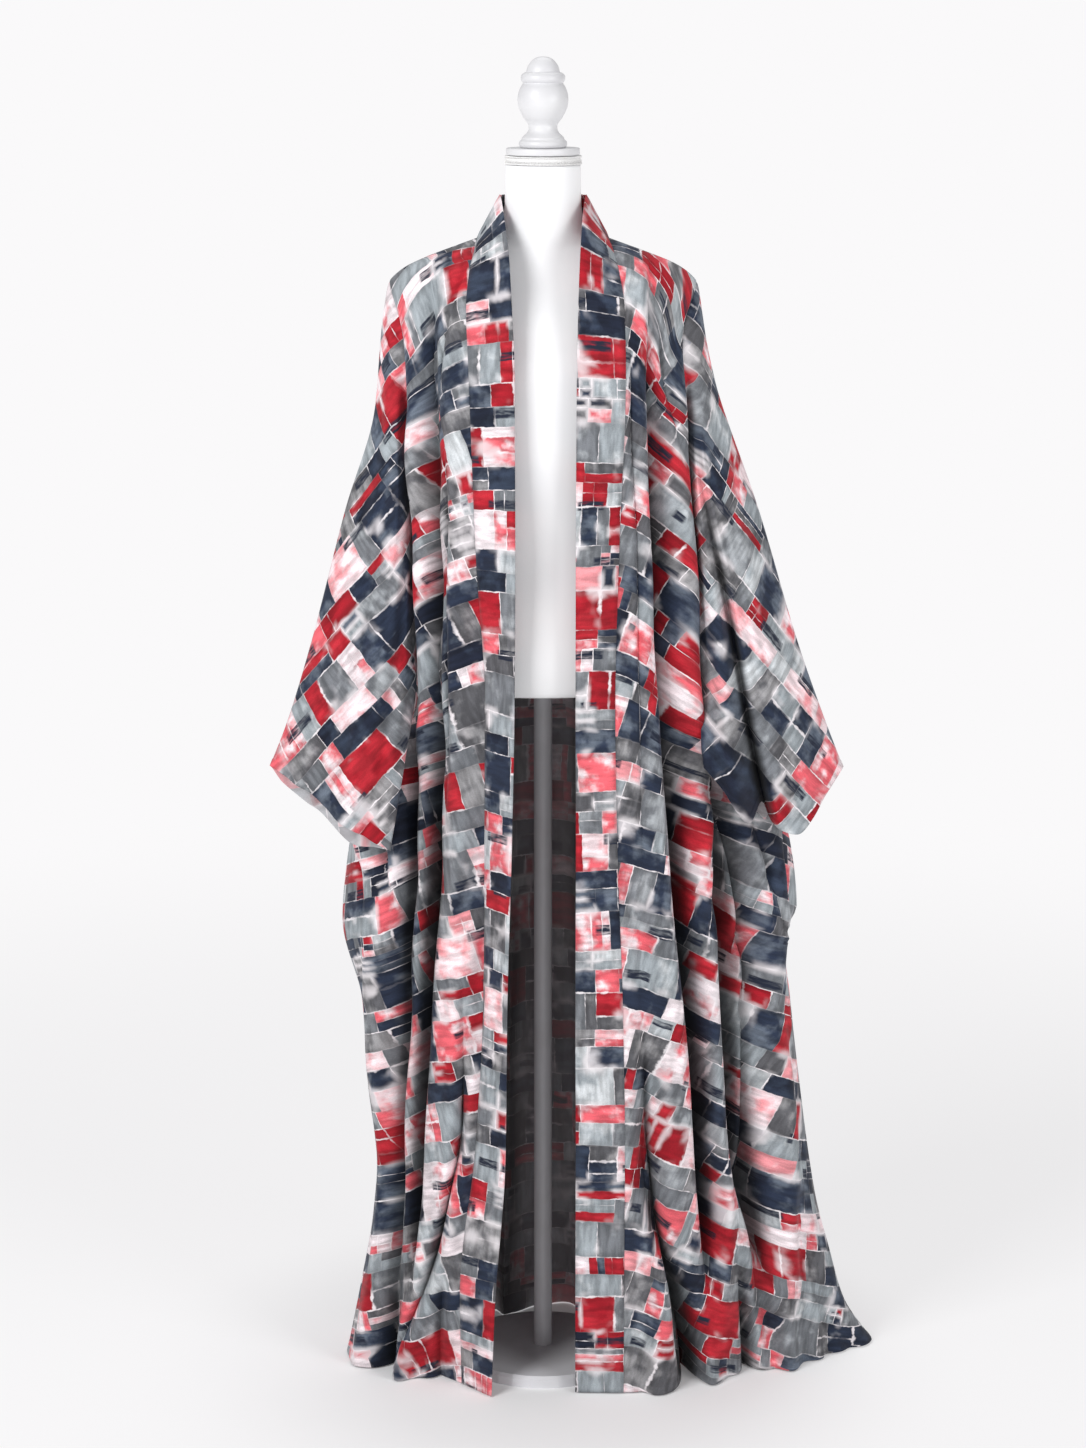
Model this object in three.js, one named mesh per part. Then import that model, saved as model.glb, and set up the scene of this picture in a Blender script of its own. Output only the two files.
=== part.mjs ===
// A floor-length open kimono robe of printed crepe, hanging on a limbless dress form with a turned finial.
// Millimetres, +Z up. The form's axis is X = Y = 0, the robe's front faces -Y, and the wearer's left is +X.
import * as THREE from "three";

// Driving dimensions of the cloth.
const CLOTH = 1.5;
const BAND_CLOTH = 2.2;
const SEAM_GAP = 0.3;
const BAND_GAP = 0.6;
const HEM_HEIGHT = 2;
const NECK_POINT_X = 84;
const NECK_POINT_Z = 1556;
const NECKLINE_BACK_Y = 64;
const SHOULDER_TIP_X = 200;
const SHOULDER_TIP_Z = 1500;
const SHOULDER_SLOPE = 0.36;
const SHOULDER_ROUND = 125;
const ROUND_LEVEL = 0.92;
const TIP_POWER = 6;
const TOP_POWER = 2.5;
const ARMHOLE_BOTTOM_LEVEL = 0.86;
const ARMHOLE_HALF_TURN = 0.36;
const ARMHOLE_POWER = 1.2;
const SEAM_EASE = 2.2;
const MIDDLE_EASE = 0.4;
const SIDE_FADE = 0.07;
const HOLLOW_TURN = 1.5;
const HOLLOW_WIDTH = 0.3;
const RIDGE_TURN = 1.08;
const RIDGE_WIDTH = 0.2;
const BEHIND_TURN = 2.1;
const BEHIND_WIDTH = 0.3;
const LEAST_MITRE = 0.6;

// Driving dimensions of the dress form.
const TORSO_BOTTOM = 962;
const NECK_TOP = 1651;
const NECK_RADIUS = 49;
const TRIM_HEIGHT = 12;
const TRIM_RADIUS = 49.5;
const PLATE_HEIGHT = 9;
const PLATE_RADIUS = 48;
const FINIAL_BASE_Z = NECK_TOP + TRIM_HEIGHT + PLATE_HEIGHT + 3 * SEAM_GAP;
const STAND_CENTRE_Y = 14;
const POLE_RADIUS = 12.5;
const BASE_RADIUS = 122;
const BASE_HEIGHT = 16;
const BASE_BEVEL = 4;

// Mesh counts.
const FRONT_ACROSS = 25;
const BACK_CELLS = { shoulder: 10, neck: 5 };
const LEVEL_RUNS = [
  { to: 0.09, cells: 3 },
  { to: 0.4, cells: 6 },
  { to: 0.6, cells: 8 },
  { to: ARMHOLE_BOTTOM_LEVEL, cells: 5 },
  { to: 1, cells: 9 },
];
const SLEEVE_CELLS = { around: 26, along: 15 };
const BAND_ACROSS = 2;
const TORSO_CELLS = { around: 28, up: 21 };

// Turns rows of numbers into records with named columns.
function table(columns, rows) {
  return rows.map((row) => Object.fromEntries(columns.map((name, i) => [name, row[i]])));
}

// The body's plan sections: half width at the side, how far back the side lies, depth in front and behind, and
// how square the section is (2 is an ellipse).
const SECTION_COLUMNS = ["z", "side", "lean", "front", "back", "power"];
const SECTIONS = {
  right: table(SECTION_COLUMNS, [
    [0, 274, 27, 92, 160, 2.2],
    [110, 252, 25, 98, 148, 2.3],
    [200, 236, 25, 104, 142, 2.4],
    [284, 229, 25, 108, 138, 2.4],
    [400, 241, 30, 108, 134, 2.3],
    [515, 248, 40, 108, 130, 2.2],
    [629, 276, 50, 106, 128, 2.1],
    [755, 264, 80, 102, 124, 2],
    [800, 250, 85, 102, 122, 2],
    [880, 196, 60, 106, 118, 2.2],
    [950, 178, 20, 112, 112, 2.5],
    [1140, 176, 5, 110, 104, 2.5],
    [1300, 179, 0, 108, 100, 2.5],
    [1440, 190, 0, 104, 96, 2.5],
    [SHOULDER_TIP_Z, SHOULDER_TIP_X, 0, 100, 92, TOP_POWER],
    [NECK_POINT_Z, SHOULDER_TIP_X, 0, 95, 88, TOP_POWER],
  ]),
  left: table(SECTION_COLUMNS, [
    [0, 466, 63, 70, 225, 1.8],
    [65, 424, 56, 76, 205, 1.9],
    [140, 402, 52, 84, 190, 2],
    [229, 379, 50, 92, 176, 2],
    [420, 351, 50, 104, 156, 2],
    [521, 339, 50, 108, 148, 2],
    [600, 330, 55, 108, 142, 2],
    [642, 350, 60, 106, 138, 1.9],
    [760, 336, 80, 104, 130, 1.8],
    [800, 298, 88, 106, 126, 1.9],
    [880, 228, 70, 112, 120, 2.2],
    [950, 208, 20, 118, 112, 2.5],
    [1140, 202, 5, 114, 104, 2.5],
    [1300, 187, 0, 110, 100, 2.5],
    [1440, 190, 0, 104, 96, 2.5],
    [SHOULDER_TIP_Z, SHOULDER_TIP_X, 0, 100, 92, TOP_POWER],
    [NECK_POINT_Z, SHOULDER_TIP_X, 0, 95, 88, TOP_POWER],
  ]),
};

// The band on each side, from the hem to the neck point: its free edge and its sewn edge, and how far the
// free edge stands above the sewn one.
const BAND_COLUMNS = ["z", "freeX", "freeY", "sewnX", "sewnY", "rise"];
const BAND = {
  right: table(BAND_COLUMNS, [
    [0, 69, -138, 110, -92, 0],
    [130, 64, -136, 112, -98, 0],
    [344, 49, -134, 90, -92, 0],
    [555, 46, -132, 78, -84, 0],
    [761, 40, -130, 76, -84, 0],
    [964, 36, -128, 75, -86, 0],
    [1149, 35, -126, 86, -98, 0],
    [1390, 36, -118, 95, -103, 6],
    [1475, 40, -102, 98, -88, 14],
    [1515, 43, -82, 94, -66, 26],
    [1543, 49, -48, 87, -34, 44],
    [NECK_POINT_Z, 54, 0, NECK_POINT_X, 0, 56],
  ]),
  left: table(BAND_COLUMNS, [
    [0, 44, -122, 110, -124, 0],
    [344, 44, -122, 110, -124, 0],
    [555, 43, -124, 106, -123, 0],
    [761, 43, -124, 98, -118, 0],
    [964, 42, -124, 94, -114, 0],
    [1149, 42, -122, 98, -110, 0],
    [1390, 43, -116, 106, -103, 6],
    [1475, 45, -102, 104, -88, 14],
    [1515, 47, -82, 97, -66, 26],
    [1543, 50, -48, 89, -34, 44],
    [NECK_POINT_Z, 54, 0, NECK_POINT_X, 0, 56],
  ]),
};
const BAND_BACK_FREE_Y = 56;
const BAND_BACK_RISE = 54;
const BAND_BACK_SHARE = 0.09;

// The folds of the body, each a trough (negative depth) or a ridge: its distance from the middle and its
// depth at five heights, and its half width.
const FOLD_HEIGHTS = [0, 330, 750, 1140, 1440];
const FOLD_COLUMNS = ["face", "at", "depth", "width"];
const FOLDS = {
  right: table(FOLD_COLUMNS, [
    ["front", [146, 126, 112, 116, 116], [-14, 10, 8, 8, 3], 22],
    ["front", [192, 184, 157, 156, 150], [22, -26, -24, -22, -8], 18],
    ["front", [222, 212, 190, 182, 182], [-20, -24, -36, 0, 0], 18],
    ["front", [250, 226, 236, 240, 240], [6, 10, 12, 0, 0], 20],
    ["back", [60, 52, 46, 44, 40], [-30, -24, -18, -12, -4], 26],
    ["back", [120, 110, 100, 92, 90], [22, 18, 14, 10, 3], 26],
    ["back", [178, 160, 148, 134, 130], [-30, -24, -22, -14, -4], 22],
  ]),
  left: table(FOLD_COLUMNS, [
    ["front", [152, 172, 146, 130, 124], [22, 16, 14, 10, 4], 24],
    ["front", [202, 137, 128, 124, 120], [-44, -12, 0, 0, 0], 18],
    ["front", [230, 216, 177, 150, 140], [24, -34, -28, -26, -10], 20],
    ["front", [285, 244, 204, 178, 164], [-26, 14, 16, 12, 4], 20],
    ["front", [340, 268, 236, 206, 200], [20, -44, -46, 0, 0], 24],
    ["front", [400, 322, 296, 260, 240], [-14, 16, 14, 0, 0], 26],
    ["back", [70, 60, 50, 46, 40], [-34, -26, -18, -12, -4], 28],
    ["back", [170, 140, 112, 96, 90], [34, 24, 16, 10, 3], 34],
    ["back", [260, 220, 176, 140, 132], [-40, -30, -24, -14, -4], 30],
    ["back", [350, 292, 240, 190, 180], [26, 18, 12, 0, 0], 28],
  ]),
};

// Where the sleeve lies against the body: a hollow at the side, a ridge in front of it and one behind, by height.
const SIDE_COLUMNS = ["z", "hollow", "ridge", "behind"];
const SIDES = {
  right: table(SIDE_COLUMNS, [
    [560, 0, 0, 0],
    [860, -8, 10, 10],
    [950, -13, 18, 24],
    [1140, -13, 20, 28],
    [1290, -9, 18, 20],
    [1430, 0, 0, 0],
  ]),
  left: table(SIDE_COLUMNS, [
    [560, 0, 0, 0],
    [860, -8, 8, 10],
    [950, -16, 14, 22],
    [1140, -16, 15, 24],
    [1290, -9, 12, 18],
    [1430, 0, 0, 0],
  ]),
};

// The sleeves, from the armhole to the cuff: the overarm edge, the underarm edge and the half depth between the
// layers. Distances are from the middle outwards, and a negative Y is towards the front.
const SLEEVE_COLUMNS = ["share", "overX", "overY", "overZ", "underX", "underY", "underZ", "half"];
const SLEEVES = {
  right: table(SLEEVE_COLUMNS, [
    [0, 206, 0, 1500, 182, 0, 1290, 34],
    [0.12, 212, 0, 1437, 176, -4, 1236, 44],
    [0.28, 221, 2, 1335, 170, -6, 1120, 46],
    [0.5, 262, 4, 1198, 169, -12, 985, 44],
    [0.75, 310, -2, 1018, 184, -56, 870, 34],
    [0.9, 342, -12, 915, 196, -78, 798, 26],
    [1, 366, -16, 854, 204, -84, 754, 22],
  ]),
  left: table(SLEEVE_COLUMNS, [
    [0, 206, 0, 1500, 188, 0, 1290, 34],
    [0.12, 212, 0, 1437, 190, -8, 1240, 46],
    [0.28, 226, 4, 1370, 195, -20, 1160, 52],
    [0.5, 286, 8, 1198, 200, -30, 1060, 54],
    [0.75, 341, 8, 1018, 210, -38, 950, 48],
    [0.9, 378, 4, 915, 210, -70, 895, 42],
    [1, 404, 0, 849, 214, -80, 866, 36],
  ]),
};
const ARMHOLE_BLEND = 0.2;
const ARMHOLE_GAP = 0.95;

// How far the cuff hangs below the line between its ends, by the share from the overarm to the underarm edge.
const CUFF_COLUMNS = ["down", "front", "back"];
const CUFFS = {
  right: table(CUFF_COLUMNS, [
    [0, 0, 0],
    [0.1, -4, 14],
    [0.4, -4, 24],
    [0.64, 2, 32],
    [1, 0, 0],
  ]),
  left: table(CUFF_COLUMNS, [
    [0, 0, 0],
    [0.13, 33, 28],
    [0.34, 84, 76],
    [0.5, 74, 84],
    [0.6, 46, 70],
    [0.69, 64, 50],
    [0.87, 24, 20],
    [1, 0, 0],
  ]),
};

// The folds of the sleeves: where each lies from the overarm edge (0) to the underarm edge (1) at the armhole and
// at the cuff, its depth at both and its half width.
const SLEEVE_FOLD_COLUMNS = ["layer", "atTop", "atCuff", "deepTop", "deepCuff", "width"];
const SLEEVE_FOLDS = {
  right: table(SLEEVE_FOLD_COLUMNS, [
    ["front", 0.5, 0.36, 0, -12, 0.09],
    ["front", 0.72, 0.62, 2, 12, 0.12],
    ["back", 0.5, 0.4, 0, 10, 0.12],
    ["back", 0.7, 0.66, 0, -8, 0.1],
  ]),
  left: table(SLEEVE_FOLD_COLUMNS, [
    ["front", 0.62, 0.56, 0, -44, 0.08],
    ["front", 0.8, 0.76, 2, 30, 0.12],
    ["front", 0.4, 0.3, 2, 4, 0.14],
    ["back", 0.5, 0.4, 0, 12, 0.12],
    ["back", 0.7, 0.66, 0, -10, 0.1],
  ]),
};

// The torso's plan sections: half width, and depth in front and behind.
const TORSO_COLUMNS = ["z", "side", "front", "back", "power"];
const TORSO = table(TORSO_COLUMNS, [
  [TORSO_BOTTOM, 140, 92, 96, 2.2],
  [1000, 142, 94, 98, 2.2],
  [1060, 134, 90, 88, 2.2],
  [1130, 120, 84, 74, 2.2],
  [1200, 126, 88, 76, 2.2],
  [1300, 144, 97, 82, 2.2],
  [1380, 158, 97, 82, 2.2],
  [1440, 168, 84, 76, 2.1],
  [1480, 174, 66, 62, 1.9],
  [1505, 172, 54, 52, 1.6],
  [1520, 165, 49, 49, 1.4],
  [1530, 149, 47, 48, 1.3],
  [1540, 121, 46, 47, 1.3],
  [1545, 105, 46, 47, 1.3],
  [1552, 77, 46, 47, 1.5],
  [1562, 63, 47, 47, 1.7],
  [1578, 54, 48, 48, 1.9],
  [1600, 50, 49, 49, 2],
  [NECK_TOP, NECK_RADIUS, NECK_RADIUS, NECK_RADIUS, 2],
]);

const SIGN = { right: -1, left: 1 };

const clamp = (value, low, high) => Math.min(high, Math.max(low, value));
const smooth = (value) => value * value * (3 - 2 * value);

// Value at x of a smooth curve through (xs, ys) that never overshoots a row.
function curveAt(xs, ys, x) {
  const last = xs.length - 1;
  if (x <= xs[0]) return ys[0];
  if (x >= xs[last]) return ys[last];
  let i = 0;
  while (x > xs[i + 1]) i += 1;
  const step = (k) => (ys[k + 1] - ys[k]) / (xs[k + 1] - xs[k]);
  const slope = (k) => {
    if (k === 0 || k === last) return step(k === 0 ? 0 : last - 1);
    const before = step(k - 1);
    const after = step(k);
    return before * after <= 0 ? 0 : (2 * before * after) / (before + after);
  };
  const width = xs[i + 1] - xs[i];
  const t = (x - xs[i]) / width;
  const t2 = t * t;
  const t3 = t2 * t;
  return (
    (2 * t3 - 3 * t2 + 1) * ys[i] +
    (t3 - 2 * t2 + t) * width * slope(i) +
    (3 * t2 - 2 * t3) * ys[i + 1] +
    (t3 - t2) * width * slope(i + 1)
  );
}

// One column of a table, read at a height or share.
function column(rows, key, name, at) {
  return curveAt(
    rows.map((row) => row[key]),
    rows.map((row) => row[name]),
    at,
  );
}

// Signed power, for the plan sections.
const rounded = (value, power) => Math.sign(value) * Math.abs(value) ** (2 / power);

// Half turn at which a section reaches a given distance from the middle.
const turnAt = (x, side, power) => Math.asin(clamp(x / side, 0, 1) ** (power / 2));

// Height of the shoulder line above a point at x from the middle.
function shoulderHeight(x) {
  const share = clamp((x - NECK_POINT_X) / (SHOULDER_TIP_X - NECK_POINT_X), 0, 1);
  const line = NECK_POINT_Z - SHOULDER_SLOPE * share * (SHOULDER_TIP_X - NECK_POINT_X);
  const lineEnd = NECK_POINT_Z - SHOULDER_SLOPE * (SHOULDER_TIP_X - NECK_POINT_X);
  return line - (lineEnd - SHOULDER_TIP_Z) * share ** TIP_POWER;
}

// Y of the body's top edge: the shoulder line, or the neckline behind the neck.
function topY(x, face) {
  if (face === "front" || x >= NECK_POINT_X) return 0;
  return NECKLINE_BACK_Y * Math.sqrt(1 - (x / NECK_POINT_X) ** 2);
}

// A body point in plan before the folds, at a half turn (0 in front, PI behind) and a height.
function sectionPoint(side, turn, z) {
  const rows = SECTIONS[side];
  const width = column(rows, "z", "side", z);
  const lean = column(rows, "z", "lean", z);
  const deep = column(rows, "z", turn < Math.PI / 2 ? "front" : "back", z);
  const power = column(rows, "z", "power", z);
  const reach = turn < Math.PI / 2 ? lean + deep : deep - lean;
  return {
    x: width * rounded(Math.sin(turn), power),
    y: lean - reach * rounded(Math.cos(turn), power),
  };
}

// How far the folds push a body point out at a distance x from the middle.
function foldDepth(side, face, x, z) {
  let depth = 0;
  for (const fold of FOLDS[side]) {
    if (fold.face !== face) continue;
    const offset = (x - curveAt(FOLD_HEIGHTS, fold.at, z)) / fold.width;
    depth += curveAt(FOLD_HEIGHTS, fold.depth, z) * Math.exp(-offset * offset);
  }
  return depth;
}

// A level between the hem (0) and the shoulder line (1): its height under a top edge, and how far the cloth there
// has rounded out from that edge.
function levelAt(level, topZ) {
  const roundStart = topZ - SHOULDER_ROUND;
  if (level <= ROUND_LEVEL) return { z: HEM_HEIGHT + (roundStart - HEM_HEIGHT) * (level / ROUND_LEVEL), round: 1 };
  const angle = ((Math.PI / 2) * (level - ROUND_LEVEL)) / (1 - ROUND_LEVEL);
  return { z: roundStart + SHOULDER_ROUND * Math.sin(angle), round: Math.cos(angle) };
}

// A body point with its folds, at a half turn and a level, under a top edge at topX and topZ.
function foldedPoint(side, turn, level, topX, topZ) {
  const { z, round } = levelAt(level, topZ);
  const face = turn < Math.PI / 2 ? "front" : "back";
  const here = sectionPoint(side, turn, z);
  const ahead = sectionPoint(side, turn + 0.01, z);
  const behind = sectionPoint(side, turn - 0.01, z);
  const length = Math.hypot(ahead.x - behind.x, ahead.y - behind.y);
  const normal = { x: (ahead.y - behind.y) / length, y: -(ahead.x - behind.x) / length };
  const inside = smooth(clamp((1 - here.x / column(SECTIONS[side], "z", "side", z)) / SIDE_FADE, 0, 1));
  const nook = (name, turnTo, width) => column(SIDES[side], "z", name, z) * Math.exp(-(((turn - turnTo) / width) ** 2));
  const folds = foldDepth(side, face, here.x, z) * inside;
  const beside =
    nook("hollow", HOLLOW_TURN, HOLLOW_WIDTH) +
    nook("ridge", RIDGE_TURN, RIDGE_WIDTH) +
    nook("behind", BEHIND_TURN, BEHIND_WIDTH);
  const depth = (folds + beside) * Math.abs(round);
  const edge = topY(topX, face);
  const y = here.y + normal.y * depth;
  return new THREE.Vector3(here.x + normal.x * depth, edge + (y - edge) * round, z);
}

// The band's sewn edge at a height.
function sewnEdge(side, z) {
  const rows = BAND[side];
  return new THREE.Vector3(column(rows, "z", "sewnX", z), column(rows, "z", "sewnY", z), z);
}

// How far the armhole opens from the side at a level between the hem (0) and the shoulder (1).
function armholeTurn(level) {
  const share = (level - ARMHOLE_BOTTOM_LEVEL) / (1 - ARMHOLE_BOTTOM_LEVEL);
  return share <= 0 ? 0 : ARMHOLE_HALF_TURN * Math.sin(Math.PI * Math.min(share, 1)) ** ARMHOLE_POWER;
}

// A front panel's point: across runs from the band seam (0) to the side (1), level from the hem to the shoulder.
function frontPoint(side, across, level) {
  const topStart = turnAt(NECK_POINT_X, SHOULDER_TIP_X, TOP_POWER);
  const topTurn = topStart + (Math.PI / 2 - topStart) * across;
  const topX = SHOULDER_TIP_X * rounded(Math.sin(topTurn), TOP_POWER);
  const topZ = shoulderHeight(topX);
  const { z } = levelAt(level, topZ);
  const width = column(SECTIONS[side], "z", "side", z);
  const seam = sewnEdge(side, z);
  const start = turnAt(seam.x, width, column(SECTIONS[side], "z", "power", z));
  const end = Math.PI / 2 - armholeTurn(level);
  const point = foldedPoint(side, start + (end - start) * across, level, topX, topZ);
  const shift = seam.sub(foldedPoint(side, start, level, topX, topZ));
  point.addScaledVector(shift, Math.max(0, 1 - across) ** SEAM_EASE);
  point.x *= SIGN[side];
  return point;
}

// Distance from the middle of the back's top edge, from the shoulder tip (0) to the middle (1).
const backTopX = (from) => SHOULDER_TIP_X * rounded(Math.sin((Math.PI / 2) * (1 + from)), TOP_POWER);

// A back panel's point: across runs from the right side (0) over the middle (0.5), where both sides are eased to
// meet, to the left side (1).
function backPoint(across, level) {
  const side = across < 0.5 ? "right" : "left";
  const from = 1 - Math.abs(2 * across - 1);
  const topX = backTopX(from);
  const topZ = shoulderHeight(topX);
  const start = Math.PI / 2 + armholeTurn(level);
  const turn = start + (Math.PI - start) * from;
  const point = foldedPoint(side, turn, level, topX, topZ);
  const middle = (half) => foldedPoint(half, Math.PI, level, 0, NECK_POINT_Z).y;
  const shift = (middle("left") + middle("right")) / 2 - middle(side);
  point.y += shift * smooth(clamp((from - MIDDLE_EASE) / (1 - MIDDLE_EASE), 0, 1));
  point.x *= SIGN[side];
  return point;
}

// The armhole's edge on the body: layer front or back, down from the shoulder tip (0) to the underarm (1).
function armholePoint(side, layer, down) {
  const level = 1 - (1 - ARMHOLE_BOTTOM_LEVEL) * down;
  const turn = Math.PI / 2 + armholeTurn(level) * (layer === "front" ? -1 : 1);
  const point = foldedPoint(side, turn, level, SHOULDER_TIP_X, SHOULDER_TIP_Z);
  const onwards = foldedPoint(side, turn + (layer === "front" ? 0.02 : -0.02), level, SHOULDER_TIP_X, SHOULDER_TIP_Z);
  const along = onwards.sub(point).normalize();
  point.addScaledVector(along, ARMHOLE_GAP * Math.sin(Math.PI * down));
  point.x += ARMHOLE_GAP * (1 + 2 * (2 * down - 1) ** 6);
  return point;
}

// A sleeve's point: around runs down the front layer (0 to 0.5) and back up the back layer (0.5 to 1), and share
// from the armhole (0) to the cuff (1).
function sleevePoint(side, around, share) {
  const turn = ((around % 1) + 1) % 1;
  const layer = turn < 0.5 ? "front" : "back";
  const down = 1 - Math.abs(2 * turn - 1);
  const row = (name) => column(SLEEVES[side], "share", name, share);
  const out = layer === "front" ? -1 : 1;
  let bulge = row("half") * Math.sin(Math.PI * down) ** 0.7;
  const sag = column(CUFFS[side], "down", layer, down) * share ** 3;
  for (const fold of SLEEVE_FOLDS[side]) {
    if (fold.layer !== layer) continue;
    const at = fold.atTop + (fold.atCuff - fold.atTop) * share;
    const offset = (down - at) / fold.width;
    const weight = Math.exp(-offset * offset);
    bulge += (fold.deepTop + (fold.deepCuff - fold.deepTop) * share) * weight * smooth(clamp(share * 2, 0, 1));
  }
  const hanging = new THREE.Vector3(
    row("overX") + (row("underX") - row("overX")) * down,
    row("overY") + (row("underY") - row("overY")) * down + out * bulge,
    row("overZ") + (row("underZ") - row("overZ")) * down - sag,
  );
  const point = armholePoint(side, layer, down).lerp(hanging, 1 - (1 - clamp(share / ARMHOLE_BLEND, 0, 1)) ** 2);
  point.x *= SIGN[side];
  return point;
}

// The band's point: across runs from the sewn edge (0) to the free edge (1), along from the right hem (0) round the
// neck to the left hem (1).
function bandPoint(across, along) {
  const half = 0.5 - BAND_BACK_SHARE;
  if (along < half || along > 1 - half) {
    const side = along < 0.5 ? "right" : "left";
    const up = clamp((along < 0.5 ? along : 1 - along) / half, 0, 1);
    const { z } = levelAt(up, NECK_POINT_Z);
    const row = (name) => column(BAND[side], "z", name, z);
    const sewn = new THREE.Vector3(row("sewnX"), row("sewnY"), z);
    const free = new THREE.Vector3(row("freeX"), row("freeY"), z + row("rise"));
    const point = sewn.lerp(free, across);
    point.x *= SIGN[side];
    return point;
  }
  const angle = (Math.PI * (along - half)) / (2 * BAND_BACK_SHARE);
  const freeX = column(BAND.right, "z", "freeX", NECK_POINT_Z);
  const sewn = new THREE.Vector3(
    -NECK_POINT_X * Math.cos(angle),
    NECKLINE_BACK_Y * Math.sin(angle),
    NECK_POINT_Z,
  );
  const free = new THREE.Vector3(
    -freeX * Math.cos(angle),
    BAND_BACK_FREE_Y * Math.sin(angle),
    NECK_POINT_Z + BAND_BACK_RISE,
  );
  return sewn.lerp(free, across);
}

// Unit normal of a surface at (a, b), by small steps either way, which stay on an open surface in its top row.
function normalAt(surface, a, b, closed) {
  const step = 1e-3;
  const topRow = b > 1 - step && !closed;
  const highA = topRow ? Math.min(a + step, 1) : a + step;
  const lowA = topRow ? Math.max(a - step, 0) : a - step;
  const alongA = surface(highA, b).sub(surface(lowA, b));
  const alongB = surface(a, topRow ? 1 : b + step).sub(surface(a, b - step));
  return alongA.cross(alongB).normalize();
}

// A cell's own normal, square to its diagonals.
function cellNormal(grid, i, j) {
  const rising = grid[j + 1][i + 1].clone().sub(grid[j][i]);
  const falling = grid[j + 1][i].clone().sub(grid[j][i + 1]);
  return rising.cross(falling).normalize();
}

// The way from a grid's point to the far face of a wall one unit thick, which keeps the wall that thick over the
// cells around the point.
function mitreAt(grid, i, j) {
  const mean = new THREE.Vector3();
  let cells = 0;
  for (const row of [j - 1, j]) {
    for (const cell of [i - 1, i]) {
      if (row < 0 || cell < 0 || row >= grid.length - 1 || cell >= grid[0].length - 1) continue;
      mean.add(cellNormal(grid, cell, row));
      cells += 1;
    }
  }
  mean.divideScalar(cells);
  return mean.divideScalar(mean.length() * Math.max(mean.length(), LEAST_MITRE));
}

// A closed wall on a surface: outer points, inner points a thickness behind them, and rims on the open edges. The
// insets draw back its first and last column and its last row, for the seams there.
function wallGeometry(surface, as, bs, thickness, facing, insets, closed = false) {
  const across = as.length;
  const along = bs.length;
  const outer = bs.map((b) => as.map((a) => surface(a, b)));
  const drawn = outer.map((row) => row.map((point) => point.clone()));
  const drawBack = (j, i, toJ, toI, inset) => {
    const towards = outer[toJ][toI].clone().sub(outer[j][i]).normalize();
    drawn[j][i].addScaledVector(towards, inset);
  };
  for (let j = 0; j < along && !closed; j += 1) {
    drawBack(j, 0, j, 1, insets.first);
    drawBack(j, across - 1, j, across - 2, insets.last);
  }
  for (let i = 0; i < across && insets.top; i += 1) drawBack(along - 1, i, along - 2, i, insets.top);
  const positions = [];
  for (const depth of [0, thickness]) {
    for (let j = 0; j < along; j += 1) {
      for (let i = 0; i < across; i += 1) {
        const seam = closed || i === 0 || i === across - 1 || j === along - 1;
        const way = seam ? normalAt(surface, as[i], bs[j], closed) : mitreAt(outer, i, j);
        const point = drawn[j][i].clone().addScaledVector(way, -facing * depth);
        positions.push(point.x, point.y, point.z);
      }
    }
  }
  const inner = across * along;
  const at = (i, j) => j * across + (closed ? i % across : i);
  const indices = [];
  const quad = (a, b, c, d) => {
    if (facing > 0) indices.push(a, b, c, a, c, d);
    else indices.push(a, c, b, a, d, c);
  };
  const cells = closed ? across : across - 1;
  for (let j = 0; j < along - 1; j += 1) {
    for (let i = 0; i < cells; i += 1) {
      const [a, b, c, d] = [at(i, j), at(i + 1, j), at(i + 1, j + 1), at(i, j + 1)];
      quad(a, b, c, d);
      quad(a + inner, d + inner, c + inner, b + inner);
    }
  }
  for (let i = 0; i < cells; i += 1) {
    quad(at(i + 1, 0), at(i, 0), at(i, 0) + inner, at(i + 1, 0) + inner);
    quad(at(i, along - 1), at(i + 1, along - 1), at(i + 1, along - 1) + inner, at(i, along - 1) + inner);
  }
  for (let j = 0; j < along - 1 && !closed; j += 1) {
    quad(at(0, j), at(0, j + 1), at(0, j + 1) + inner, at(0, j) + inner);
    quad(at(across - 1, j + 1), at(across - 1, j), at(across - 1, j) + inner, at(across - 1, j + 1) + inner);
  }
  const geometry = new THREE.BufferGeometry();
  geometry.setAttribute("position", new THREE.Float32BufferAttribute(positions, 3));
  geometry.setIndex(indices);
  geometry.computeVertexNormals();
  return geometry;
}

// Even steps from low to high.
const steps = (count, low = 0, high = 1) =>
  Array.from({ length: count + 1 }, (_, i) => low + ((high - low) * i) / count);

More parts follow.
